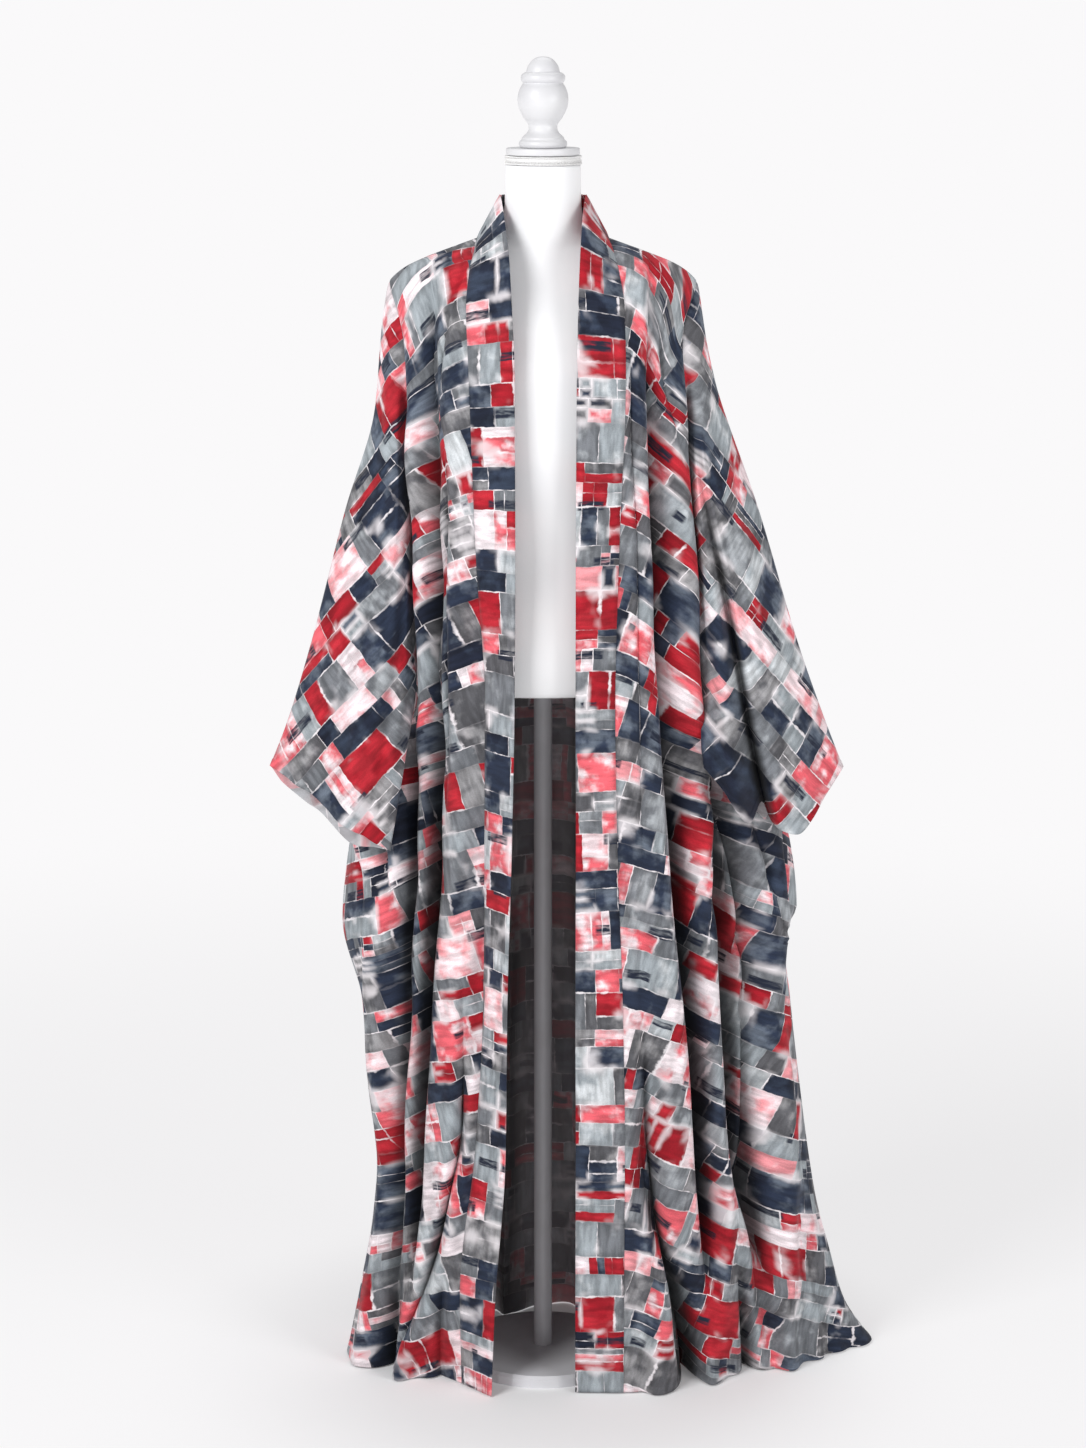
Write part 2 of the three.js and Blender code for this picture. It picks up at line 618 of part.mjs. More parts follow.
// A solid through the torso's sections, closed at its foot and at the neck's top.
function torsoGeometry() {
  const { around, up } = TORSO_CELLS;
  const heights = steps(up).map((share) => curveAt(
    TORSO.map((_, i) => i / (TORSO.length - 1)),
    TORSO.map((row) => row.z),
    share,
  ));
  const positions = [];
  for (const z of heights) {
    const width = column(TORSO, "z", "side", z);
    const front = column(TORSO, "z", "front", z);
    const back = column(TORSO, "z", "back", z);
    const power = column(TORSO, "z", "power", z);
    for (let i = 0; i < around; i += 1) {
      const angle = (2 * Math.PI * i) / around;
      const deep = Math.sin(angle) < 0 ? front : back;
      positions.push(
        width * rounded(Math.cos(angle), power),
        deep * rounded(Math.sin(angle), power),
        z,
      );
    }
  }
  positions.push(0, 0, TORSO_BOTTOM, 0, 0, NECK_TOP);
  const foot = around * (up + 1);
  const indices = [];
  for (let i = 0; i < around; i += 1) {
    const next = (i + 1) % around;
    for (let j = 0; j < up; j += 1) {
      const a = j * around + i;
      const b = j * around + next;
      indices.push(a, b, b + around, a, b + around, a + around);
    }
    indices.push(foot, next, i);
    indices.push(foot + 1, up * around + i, up * around + next);
  }
  const geometry = new THREE.BufferGeometry();
  geometry.setAttribute("position", new THREE.Float32BufferAttribute(positions, 3));
  geometry.setIndex(indices);
  geometry.computeVertexNormals();
  return geometry;
}

// A turned solid about the vertical axis, from a profile of [radius, height] pairs.
function turned(profile, segments) {
  const points = profile.map(([radius, height]) => new THREE.Vector2(radius, height));
  return new THREE.LatheGeometry(points, segments).rotateX(Math.PI / 2);
}

const FINIAL_PROFILE = [
  [0, 0], [33, 0], [33, 4], [29, 7], [27, 10], [22, 14], [18.5, 19], [17.5, 25], [19, 31], [24, 38], [30, 46],
  [32.5, 55], [32, 63], [28, 72], [22, 79], [19, 82], [26, 84], [28, 88], [26, 92], [20, 94], [21, 100],
  [17, 108], [9, 114], [0, 116],
];

const materials = {
  cloth: { color: 0x8f7f86, roughness: 0.78, metalness: 0 },
  band: { color: 0x86767d, roughness: 0.78, metalness: 0 },
  form: { color: 0xf4f4f6, roughness: 0.7, metalness: 0 },
  trim: { color: 0xeeeeee, roughness: 0.9, metalness: 0 },
  wood: { color: 0xf7f7f8, roughness: 0.35, metalness: 0 },
  steel: { color: 0xe6e6e8, roughness: 0.4, metalness: 0.1 },
};

const group = new THREE.Group();

// Adds one named mesh to the part.
function add(name, geometry, finish) {
  const mesh = new THREE.Mesh(geometry, new THREE.MeshStandardMaterial(materials[finish]));
  mesh.name = name;
  group.add(mesh);
  return mesh;
}

const levels = [0];
for (const run of LEVEL_RUNS) levels.push(...steps(run.cells, levels.at(-1), run.to).slice(1));

// The back's columns, from a side to the middle, with one at the neck point.
const neckShare = 1 - turnAt(NECK_POINT_X, SHOULDER_TIP_X, TOP_POWER) / (Math.PI / 2);
const neckColumns = steps(BACK_CELLS.neck, neckShare, 1);
const halfColumns = [...steps(BACK_CELLS.shoulder, 0, neckShare), ...neckColumns.slice(1)];
const backColumns = [
  ...halfColumns.map((share) => share / 2),
  ...halfColumns.slice(0, -1).map((share) => 1 - share / 2).reverse(),
];

// The band's steps: the fronts' levels on each side, and the back's columns round the neck.
const bandHalf = 0.5 - BAND_BACK_SHARE;
const neckSteps = neckColumns.slice(1).map(
  (share) => bandHalf + (2 * BAND_BACK_SHARE * Math.acos(backTopX(share) / NECK_POINT_X)) / Math.PI,
);
const bandSteps = [
  ...levels.map((level) => level * bandHalf),
  ...neckSteps,
  ...neckSteps.slice(0, -1).map((step) => 1 - step).reverse(),
  ...levels.map((level) => 1 - level * bandHalf).reverse(),
];

for (const side of ["right", "left"]) {
  add(
    "front_" + side,
    wallGeometry(
      (a, b) => frontPoint(side, a, b),
      steps(FRONT_ACROSS),
      levels,
      CLOTH,
      -SIGN[side],
      { first: 0, last: SEAM_GAP / 2, top: SEAM_GAP / 2 },
    ),
    "cloth",
  );
  add(
    "sleeve_" + side,
    wallGeometry(
      (a, b) => sleevePoint(side, a, b),
      steps(SLEEVE_CELLS.around).slice(0, -1),
      steps(SLEEVE_CELLS.along, 0.004, 1),
      CLOTH,
      SIGN[side],
      {},
      true,
    ),
    "cloth",
  );
}

add(
  "back_panel",
  wallGeometry(
    backPoint,
    backColumns,
    levels,
    CLOTH,
    1,
    { first: SEAM_GAP / 2, last: SEAM_GAP / 2, top: SEAM_GAP / 2 },
  ),
  "cloth",
);

add(
  "neckband",
  wallGeometry(bandPoint, steps(BAND_ACROSS), bandSteps, BAND_CLOTH, 1, { first: BAND_GAP, last: 0 }),
  "band",
);

add("form_torso", torsoGeometry(), "form");

const trim = add("neck_trim", new THREE.CylinderGeometry(TRIM_RADIUS, TRIM_RADIUS, TRIM_HEIGHT, 40), "trim");
trim.rotation.x = Math.PI / 2;
trim.position.z = NECK_TOP + SEAM_GAP + TRIM_HEIGHT / 2;

const plate = add("neck_plate", new THREE.CylinderGeometry(PLATE_RADIUS, PLATE_RADIUS, PLATE_HEIGHT, 40), "wood");
plate.rotation.x = Math.PI / 2;
plate.position.z = NECK_TOP + TRIM_HEIGHT + 2 * SEAM_GAP + PLATE_HEIGHT / 2;

add("finial", turned(FINIAL_PROFILE, 20), "wood").position.z = FINIAL_BASE_Z;

const poleLength = TORSO_BOTTOM - BASE_HEIGHT - 2 * SEAM_GAP;
const pole = add("pole", new THREE.CylinderGeometry(POLE_RADIUS, POLE_RADIUS, poleLength, 24), "steel");
pole.rotation.x = Math.PI / 2;
pole.position.set(0, STAND_CENTRE_Y, BASE_HEIGHT + SEAM_GAP + poleLength / 2);

const baseProfile = [
  [0, 0], [BASE_RADIUS, 0], [BASE_RADIUS, BASE_HEIGHT - BASE_BEVEL], [BASE_RADIUS - BASE_BEVEL, BASE_HEIGHT],
  [0, BASE_HEIGHT],
];
add("stand_base", turned(baseProfile, 36), "steel").position.y = STAND_CENTRE_Y;

export default group;
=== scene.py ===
"""A floor-length open kimono robe of printed crepe on a limbless dress form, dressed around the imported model.

Metres, +Z up. The form's axis is X = Y = 0, the robe's front faces -Y and the wearer's left is +X. The tables
of the cut are in millimetres, as a maker writes them.
"""

import logging
import math
from collections.abc import Callable
from dataclasses import dataclass, field
from enum import Enum
from functools import partial

import bmesh
import bpy
import numpy as np
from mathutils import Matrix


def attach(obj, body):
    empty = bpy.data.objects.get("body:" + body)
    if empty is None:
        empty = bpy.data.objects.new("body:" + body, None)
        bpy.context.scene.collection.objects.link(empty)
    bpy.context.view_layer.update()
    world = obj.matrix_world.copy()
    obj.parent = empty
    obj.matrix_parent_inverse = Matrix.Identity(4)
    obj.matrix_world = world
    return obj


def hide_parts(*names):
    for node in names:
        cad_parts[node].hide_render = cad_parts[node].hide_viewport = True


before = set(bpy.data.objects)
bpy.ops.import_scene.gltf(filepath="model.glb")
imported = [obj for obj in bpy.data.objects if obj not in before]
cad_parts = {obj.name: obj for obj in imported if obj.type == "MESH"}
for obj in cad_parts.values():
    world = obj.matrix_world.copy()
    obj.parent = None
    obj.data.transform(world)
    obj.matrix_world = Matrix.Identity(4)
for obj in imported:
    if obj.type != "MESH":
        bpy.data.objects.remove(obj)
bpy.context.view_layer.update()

log = logging.getLogger("kimono")

MM = 0.001
ROOT = "root"

Array = np.ndarray
Surface = Callable[[Array, Array], Array]
Rows = list[tuple]


class Side(Enum):
    """The wearer's two sides, with the sign of X on each."""

    RIGHT = -1
    LEFT = 1

    @property
    def word(self) -> str:
        """The side's word in a piece's name."""
        return self.name.lower()


def smooth(value: Array) -> Array:
    """A soft step from 0 to 1 over the values 0 to 1."""
    value = np.clip(value, 0, 1)
    return value * value * (3 - 2 * value)


def bell(offset: Array) -> Array:
    """A soft bump, 1 in the middle and nearly 0 at a distance of 2."""
    return np.exp(-offset * offset)


def crease(offset: Array) -> Array:
    """A soft bump with a slight dip beside it."""
    return bell(offset) - 0.35 * bell((offset - 1.9) / 1.2)


def curve_at(xs: Array, ys: Array, x: Array) -> Array:
    """Reads a smooth curve that never overshoots its points.

    Args:
        xs: The points' places, rising.
        ys: The points' values.
        x: Where to read the curve.

    Returns:
        The curve's values at x.
    """
    xs, ys = np.asarray(xs, float), np.asarray(ys, float)
    x = np.clip(x, xs[0], xs[-1])
    step = np.diff(ys) / np.diff(xs)
    slope = np.zeros_like(ys)
    slope[0], slope[-1] = step[0], step[-1]
    before, after = step[:-1], step[1:]
    same = before * after > 0
    slope[1:-1] = np.where(same, 2 * before * after / np.where(same, before + after, 1), 0)
    i = np.clip(np.searchsorted(xs, x, side="left") - 1, 0, len(xs) - 2)
    width = xs[i + 1] - xs[i]
    t = (x - xs[i]) / width
    t2, t3 = t * t, t * t * t
    return (
        (2 * t3 - 3 * t2 + 1) * ys[i]
        + (t3 - 2 * t2 + t) * width * slope[i]
        + (3 * t2 - 2 * t3) * ys[i + 1]
        + (t3 - t2) * width * slope[i + 1]
    )


class Table:
    """Rows of numbers with named columns, read between the rows by a smooth curve on the first column."""

    def __init__(self, names: str, rows: Rows) -> None:
        """Keeps the rows as columns.

        Args:
            names: The columns' names, apart by spaces.
            rows: One tuple of numbers a row.
        """
        self.names = names.split()
        self.columns = {name: np.array([row[i] for row in rows], float) for i, name in enumerate(self.names)}

    def at(self, name: str, where: Array) -> Array:
        """Reads one column.

        Args:
            name: The column's name.
            where: Values of the first column.

        Returns:
            The column's values there.
        """
        return curve_at(self.columns[self.names[0]], self.columns[name], where)


def rounded(value: Array, power: Array) -> Array:
    """Signed power, for the plan sections: 2 is an ellipse and more is squarer."""
    return np.sign(value) * np.abs(value) ** (2 / power)


def turn_at(x: Array, side: Array, power: Array) -> Array:
    """Half turn at which a section of that half width and power reaches x."""
    return np.arcsin(np.clip(x / side, 0, 1) ** (power / 2))


# The body in plan at each height: half its width, how far back its widest place leans, its reach in front and
# behind, and how square it is.
SECTION_NAMES = "z side lean front back power"
SECTIONS = {
    Side.RIGHT: Table(SECTION_NAMES, [
        (0, 274, 27, 92, 160, 2.2),
        (110, 252, 25, 98, 148, 2.3),
        (200, 236, 25, 104, 142, 2.4),
        (284, 229, 25, 108, 138, 2.4),
        (400, 241, 30, 108, 134, 2.3),
        (515, 248, 40, 108, 130, 2.2),
        (629, 276, 50, 106, 128, 2.1),
        (755, 264, 80, 102, 124, 2),
        (800, 250, 85, 102, 122, 2),
        (880, 196, 60, 106, 118, 2.2),
        (950, 178, 20, 112, 112, 2.5),
        (1140, 176, 5, 110, 104, 2.5),
        (1300, 179, 0, 108, 100, 2.5),
        (1440, 190, 0, 104, 96, 2.5),
        (1500, 200, 0, 100, 92, 2.5),
        (1556, 200, 0, 95, 88, 2.5),
    ]),
    Side.LEFT: Table(SECTION_NAMES, [
        (0, 466, 63, 70, 225, 1.8),
        (65, 424, 56, 76, 205, 1.9),
        (140, 402, 52, 84, 190, 2),
        (229, 379, 50, 92, 176, 2),
        (420, 351, 50, 104, 156, 2),
        (521, 339, 50, 108, 148, 2),
        (600, 330, 55, 108, 142, 2),
        (642, 350, 60, 106, 138, 1.9),
        (760, 336, 80, 104, 130, 1.8),
        (800, 298, 88, 106, 126, 1.9),
        (880, 228, 70, 112, 120, 2.2),
        (950, 208, 20, 118, 112, 2.5),
        (1140, 202, 5, 114, 104, 2.5),
        (1300, 187, 0, 110, 100, 2.5),
        (1440, 190, 0, 104, 96, 2.5),
        (1500, 200, 0, 100, 92, 2.5),
        (1556, 200, 0, 95, 88, 2.5),
    ]),
}

# The band up each front: its free and its sewn edge in plan at each height, and how far the free edge stands
# up.
BAND_NAMES = "z free_x free_y sewn_x sewn_y rise"
BANDS = {
    Side.RIGHT: Table(BAND_NAMES, [
        (0, 69, -138, 110, -92, 0),
        (130, 64, -136, 112, -98, 0),
        (344, 49, -134, 90, -92, 0),
        (555, 46, -132, 78, -84, 0),
        (761, 40, -130, 76, -84, 0),
        (964, 36, -128, 75, -86, 0),
        (1149, 35, -126, 86, -98, 0),
        (1390, 36, -118, 95, -103, 6),
        (1475, 40, -102, 98, -88, 14),
        (1515, 43, -82, 94, -66, 26),
        (1543, 49, -48, 87, -34, 44),
        (1556, 54, 0, 84, 0, 56),
    ]),
    Side.LEFT: Table(BAND_NAMES, [
        (0, 44, -122, 110, -124, 0),
        (344, 44, -122, 110, -124, 0),
        (555, 43, -124, 106, -123, 0),
        (761, 43, -124, 98, -118, 0),
        (964, 42, -124, 94, -114, 0),
        (1149, 42, -122, 98, -110, 0),
        (1390, 43, -116, 106, -103, 6),
        (1475, 45, -102, 104, -88, 14),
        (1515, 47, -82, 97, -66, 26),
        (1543, 50, -48, 89, -34, 44),
        (1556, 54, 0, 84, 0, 56),
    ]),
}

# The large folds: their distances from the middle and their depths at five heights, and their half width. A
# valley's depth is negative. FOLD_REACH holds the five heights between two far ones, so the folds run on.
FOLD_REACH = (-400, 0, 330, 750, 1140, 1440, 2000)
FOLDS = {
    (Side.RIGHT, "front"): [
        ((146, 126, 112, 116, 116), (-14, 10, 8, 8, 3), 22),
        ((192, 184, 157, 156, 150), (10, -38, -42, -36, -12), 16),
        ((222, 212, 190, 182, 182), (-20, -28, -30, 0, 0), 16),
        ((250, 226, 236, 240, 240), (6, 10, 12, 0, 0), 20),
    ],
    (Side.RIGHT, "back"): [
        ((60, 52, 46, 44, 40), (-30, -24, -18, -12, -4), 26),
        ((120, 110, 100, 92, 90), (22, 18, 14, 10, 3), 26),
        ((178, 160, 148, 134, 130), (-30, -24, -22, -14, -4), 22),
    ],
    (Side.LEFT, "front"): [
        ((152, 172, 146, 130, 124), (22, 16, 14, 10, 4), 24),
        ((202, 137, 128, 124, 120), (-44, -12, 0, 0, 0), 18),
        ((230, 216, 177, 150, 140), (14, -44, -42, -36, -14), 17),
        ((285, 244, 204, 178, 164), (-26, 14, 16, 12, 4), 20),
        ((340, 268, 236, 206, 200), (10, -50, -50, 0, 0), 20),
        ((400, 322, 296, 260, 240), (-14, 16, 14, 0, 0), 26),
    ],
    (Side.LEFT, "back"): [
        ((70, 60, 50, 46, 40), (-34, -26, -18, -12, -4), 28),
        ((170, 140, 112, 96, 90), (34, 24, 16, 10, 3), 34),
        ((260, 220, 176, 140, 132), (-40, -30, -24, -14, -4), 30),
        ((350, 292, 240, 190, 180), (26, 18, 12, 0, 0), 28),
    ],
}

# How far the body sinks under each sleeve, and swells before and behind it, at each height.
NOOK_NAMES = "z hollow ridge behind"
NOOKS = {
    Side.RIGHT: Table(NOOK_NAMES, [
        (560, 0, 0, 0),
        (860, -8, 10, 10),
        (950, -13, 18, 24),
        (1140, -13, 20, 28),
        (1290, -9, 18, 20),
        (1430, 0, 0, 0),
    ]),
    Side.LEFT: Table(NOOK_NAMES, [
        (560, 0, 0, 0),
        (860, -8, 8, 10),
        (950, -16, 14, 22),
        (1140, -16, 15, 24),
        (1290, -9, 12, 18),
        (1430, 0, 0, 0),
    ]),
}

# The sleeves from the armhole (0) to the cuff (1): the places of the overarm and the underarm, and half the
# depth.
SLEEVE_NAMES = "share over_x over_y over_z under_x under_y under_z half"
SLEEVES = {
    Side.RIGHT: Table(SLEEVE_NAMES, [
        (0, 206, 0, 1500, 182, 0, 1290, 34),
        (0.12, 212, 0, 1437, 176, -4, 1236, 44),
        (0.28, 221, 2, 1335, 170, -6, 1120, 46),
        (0.5, 262, 4, 1198, 169, -12, 985, 44),
        (0.75, 310, -2, 1018, 184, -56, 870, 34),
        (0.9, 342, -12, 915, 196, -78, 798, 26),
        (1, 366, -16, 854, 204, -84, 754, 22),
    ]),
    Side.LEFT: Table(SLEEVE_NAMES, [
        (0, 206, 0, 1500, 188, 0, 1290, 34),
        (0.12, 212, 0, 1437, 190, -8, 1240, 46),
        (0.28, 226, 4, 1370, 195, -20, 1160, 52),
        (0.5, 286, 8, 1198, 200, -30, 1060, 54),
        (0.75, 341, 8, 1018, 210, -38, 950, 48),
        (0.9, 378, 4, 915, 210, -70, 895, 42),
        (1, 404, 0, 849, 214, -80, 866, 36),
    ]),
}

# How far each layer's cuff sags, down from the overarm (0) to the underarm (1).
CUFFS = {
    Side.RIGHT: Table("down front back", [
        (0, 0, 0),
        (0.1, -4, 14),
        (0.4, -4, 24),
        (0.64, 2, 32),
        (1, 0, 0),
    ]),
    Side.LEFT: Table("down front back", [
        (0, 0, 0),
        (0.13, 33, 28),
        (0.34, 84, 76),
        (0.5, 74, 84),
        (0.6, 46, 70),
        (0.69, 64, 50),
        (0.87, 24, 20),
        (1, 0, 0),
    ]),
}

# Sleeve folds: where each lies from the overarm (0) to the underarm (1) at the armhole and at the cuff, its
# depth at both, and its half width.
SLEEVE_FOLDS = {
    (Side.RIGHT, "front"): [(0.5, 0.36, 0, -12, 0.09), (0.72, 0.62, 2, 12, 0.12)],
    (Side.RIGHT, "back"): [(0.5, 0.4, 0, 10, 0.12), (0.7, 0.66, 0, -8, 0.1)],
    (Side.LEFT, "front"): [(0.62, 0.56, 0, -44, 0.08), (0.8, 0.76, 2, 30, 0.12), (0.4, 0.3, 2, 4, 0.14)],
    (Side.LEFT, "back"): [(0.5, 0.4, 0, 12, 0.12), (0.7, 0.66, 0, -10, 0.1)],
}

# The finer creases of the body: distance from the middle at the low and the high end, the heights of both
# ends, depth (a trough is negative) and half width.
CREASES = {
    (Side.RIGHT, "front"): [
        (122, 128, 10, 420, 5, 9),
        (160, 140, 60, 620, -5, 8),
        (170, 132, 420, 980, 4, 8),
        (136, 128, 780, 1330, -4, 8),
        (140, 170, 1180, 1480, -5, 10),
        (112, 126, 1120, 1500, 3, 9),
        (208, 200, 0, 330, -7, 10),
        (238, 214, 120, 560, 6, 11),
        (166, 176, 0, 260, 6, 8),
        (214, 176, 520, 760, -7, 8),
        (190, 232, 640, 740, 6, 9),
        (232, 180, 690, 840, -8, 9),
        (206, 246, 730, 800, 7, 8),
    ],
    (Side.LEFT, "front"): [
        (126, 134, 40, 560, -4, 8),
        (150, 138, 620, 1200, -4, 8),
        (124, 150, 1150, 1500, 4, 10),
        (150, 174, 1200, 1480, -5, 10),
        (166, 158, 30, 420, 5, 9),
        (182, 196, 0, 300, -7, 9),
        (256, 236, 0, 420, 8, 10),
        (272, 256, 180, 620, -7, 10),
        (310, 292, 0, 360, -9, 12),
        (360, 310, 60, 520, 8, 13),
        (384, 330, 0, 300, -7, 11),
        (196, 216, 560, 900, 6, 9),
        (214, 246, 600, 760, -9, 9),
        (248, 206, 640, 840, 8, 9),
        (262, 300, 560, 740, -8, 10),
        (286, 250, 680, 830, 7, 9),
        (300, 326, 480, 700, 6, 10),
        (232, 200, 760, 870, -6, 8),
    ],
    (Side.RIGHT, "back"): [
        (30, 24, 0, 620, 5, 10),
        (84, 74, 60, 1000, -5, 11),
        (142, 126, 0, 700, 6, 10),
        (204, 180, 40, 640, -7, 11),
        (232, 200, 0, 420, 6, 10),
        (70, 60, 700, 1380, 3, 12),
        (112, 128, 1000, 1450, -4, 12),
        (150, 162, 1080, 1470, 4, 12),
    ],
    (Side.LEFT, "back"): [
        (32, 22, 0, 700, -5, 10),
        (110, 84, 40, 1050, 5, 12),
        (150, 120, 0, 600, -6, 11),
        (216, 170, 0, 760, 6, 12),
        (306, 250, 40, 620, -8, 13),
        (390, 320, 0, 380, 8, 14),
        (66, 56, 760, 1400, -3, 12),
        (110, 122, 1020, 1450, 4, 12),
        (152, 164, 1080, 1470, -4, 12),
    ],
}

# The sharp pleats of the body: heights, the distance from the middle and the depth at each, and half width.
PLEATS = {
    (Side.RIGHT, "front"): [
        ((20, 127, 232, 327, 386, 620), (206, 170, 141, 119, 112, 106), (-6, -16, -18, -16, -12, 0), 8),
        ((30, 127, 232, 327, 386, 560), (188, 152, 123, 102, 99, 96), (5, 8, 8, 7, 5, 0), 9),
        ((1300, 1400, 1470, 1530), (146, 136, 118, 97), (0, -7, -9, -5), 8),
        ((600, 680, 760, 830, 900), (196, 206, 226, 212, 190), (0, -10, -14, -12, 0), 9),
        ((640, 700, 770, 850), (236, 244, 240, 214), (0, -8, 9, 0), 9),
        ((700, 900, 1150, 1340), (136, 134, 133, 128), (0, -6, -7, 0), 8),
    ],
    (Side.LEFT, "front"): [
        ((4, 45, 186, 263, 386, 520), (190, 186, 167, 154, 142, 138), (-8, -16, -18, -17, -10, 0), 8),
        ((120, 301, 416, 578, 742, 850), (388, 366, 345, 320, 298, 280), (0, 9, 11, 10, 8, 0), 10),
        ((120, 301, 416, 578, 742, 850), (410, 388, 367, 341, 318, 300), (0, -10, -13, -12, -9, 0), 9),
        ((500, 560, 640, 740, 830), (276, 282, 276, 262, 240), (0, -12, -14, -12, 0), 9),
        ((540, 620, 700, 780), (330, 316, 300, 276), (0, -9, -10, 0), 9),
        ((80, 240, 420, 560), (300, 292, 284, 276), (0, -12, -12, 0), 9),
        ((700, 900, 1150, 1340, 1440), (132, 128, 122, 114, 112), (0, -5, -7, -6, 0), 8),
        ((1250, 1370, 1460), (174, 162, 150), (0, -8, 0), 8),
    ],
    (Side.RIGHT, "back"): [
        ((0, 330, 700, 1000), (152, 138, 128, 120), (-10, -12, -8, 0), 10),
        ((200, 420, 640, 860), (214, 206, 208, 190), (0, -10, -9, 0), 10),
    ],
    (Side.LEFT, "back"): [
        ((0, 330, 700, 1000), (216, 182, 146, 120), (-12, -14, -8, 0), 10),
        ((0, 300, 560, 760), (310, 262, 222, 196), (-10, -12, -8, 0), 10),
    ],
}

# Each valley has a sharper line at its bottom, this much of its depth and so many times narrower.
CREASE_SHARE = 0.55
CREASE_NARROW = 2.5

# Soft ripples over the whole body: the lengths across and up, the phase and the depth.
RIPPLES = (
    (31, 260, 0.3, 0.9),
    (47, 190, 1.9, 1.1),
    (66, 340, 3.1, 1.3),
    (38, 150, 4.4, 0.8),
    (90, 420, 5.2, 1.4),
)

# Ruffles that fade out above the hem: the length across, the phase and the depth.
HEM_RUFFLES = ((58, 0.4, 5), (87, 2.1, 6), (41, 4.0, 3))
HEM_RUFFLE_HEIGHT = 170
HEM_RUFFLE_SLANT = 0.12

# The finer creases of the sleeves: place at the armhole end and at the cuff end (overarm 0, underarm 1), the
# shares at which each starts and ends, depth and half width.
SLEEVE_CREASES = {
    (Side.RIGHT, "front"): [
        (0.14, 0.2, 0.02, 0.6, -4, 0.04),
        (0.3, 0.22, 0.1, 1, 4, 0.045),
        (0.36, 0.5, 0.3, 1, -4, 0.035),
        (0.6, 0.5, 0.02, 0.75, 4, 0.05),
        (0.74, 0.8, 0.3, 1, -5, 0.045),
        (0.86, 0.9, 0.1, 0.8, 4, 0.04),
        (0.1, 0.08, 0.4, 1, 3, 0.04),
    ],
    (Side.LEFT, "front"): [
        (0.16, 0.12, 0.02, 0.7, -4, 0.045),
        (0.26, 0.2, 0.2, 1, 4, 0.045),
        (0.44, 0.4, 0.1, 0.9, -5, 0.04),
        (0.54, 0.48, 0.3, 1, 6, 0.035),
        (0.7, 0.66, 0.05, 0.8, 5, 0.04),
        (0.88, 0.88, 0.1, 0.9, -6, 0.045),
    ],
    (Side.RIGHT, "back"): [
        (0.2, 0.26, 0.05, 0.9, 4, 0.05),
        (0.36, 0.3, 0.3, 1, -4, 0.05),
        (0.56, 0.5, 0.1, 0.9, 4, 0.05),
        (0.82, 0.86, 0.2, 1, 4, 0.05),
    ],
    (Side.LEFT, "back"): [
        (0.18, 0.24, 0.05, 0.9, 4, 0.05),
        (0.34, 0.3, 0.3, 1, -4, 0.05),
        (0.58, 0.54, 0.1, 0.9, 4, 0.05),
        (0.84, 0.86, 0.2, 1, 4, 0.05),
    ],
}

# The form's torso in plan, from its lower edge to the neck's top.
TORSO = Table("z side front back power", [
    (962, 140, 92, 96, 2.2),
    (1000, 142, 94, 98, 2.2),
    (1060, 134, 90, 88, 2.2),
    (1130, 120, 84, 74, 2.2),
    (1200, 126, 88, 76, 2.2),
    (1300, 144, 97, 82, 2.2),
    (1380, 158, 97, 82, 2.2),
    (1440, 168, 84, 76, 2.1),
    (1480, 174, 66, 62, 1.9),
    (1505, 172, 54, 52, 1.6),
    (1520, 165, 49, 49, 1.4),
    (1530, 149, 47, 48, 1.3),
    (1540, 121, 46, 47, 1.3),
    (1545, 105, 46, 47, 1.3),
    (1552, 77, 46, 47, 1.5),
    (1562, 63, 47, 47, 1.7),
    (1578, 54, 48, 48, 1.9),
    (1600, 50, 49, 49, 2),
    (1651, 49, 49, 49, 2),
])


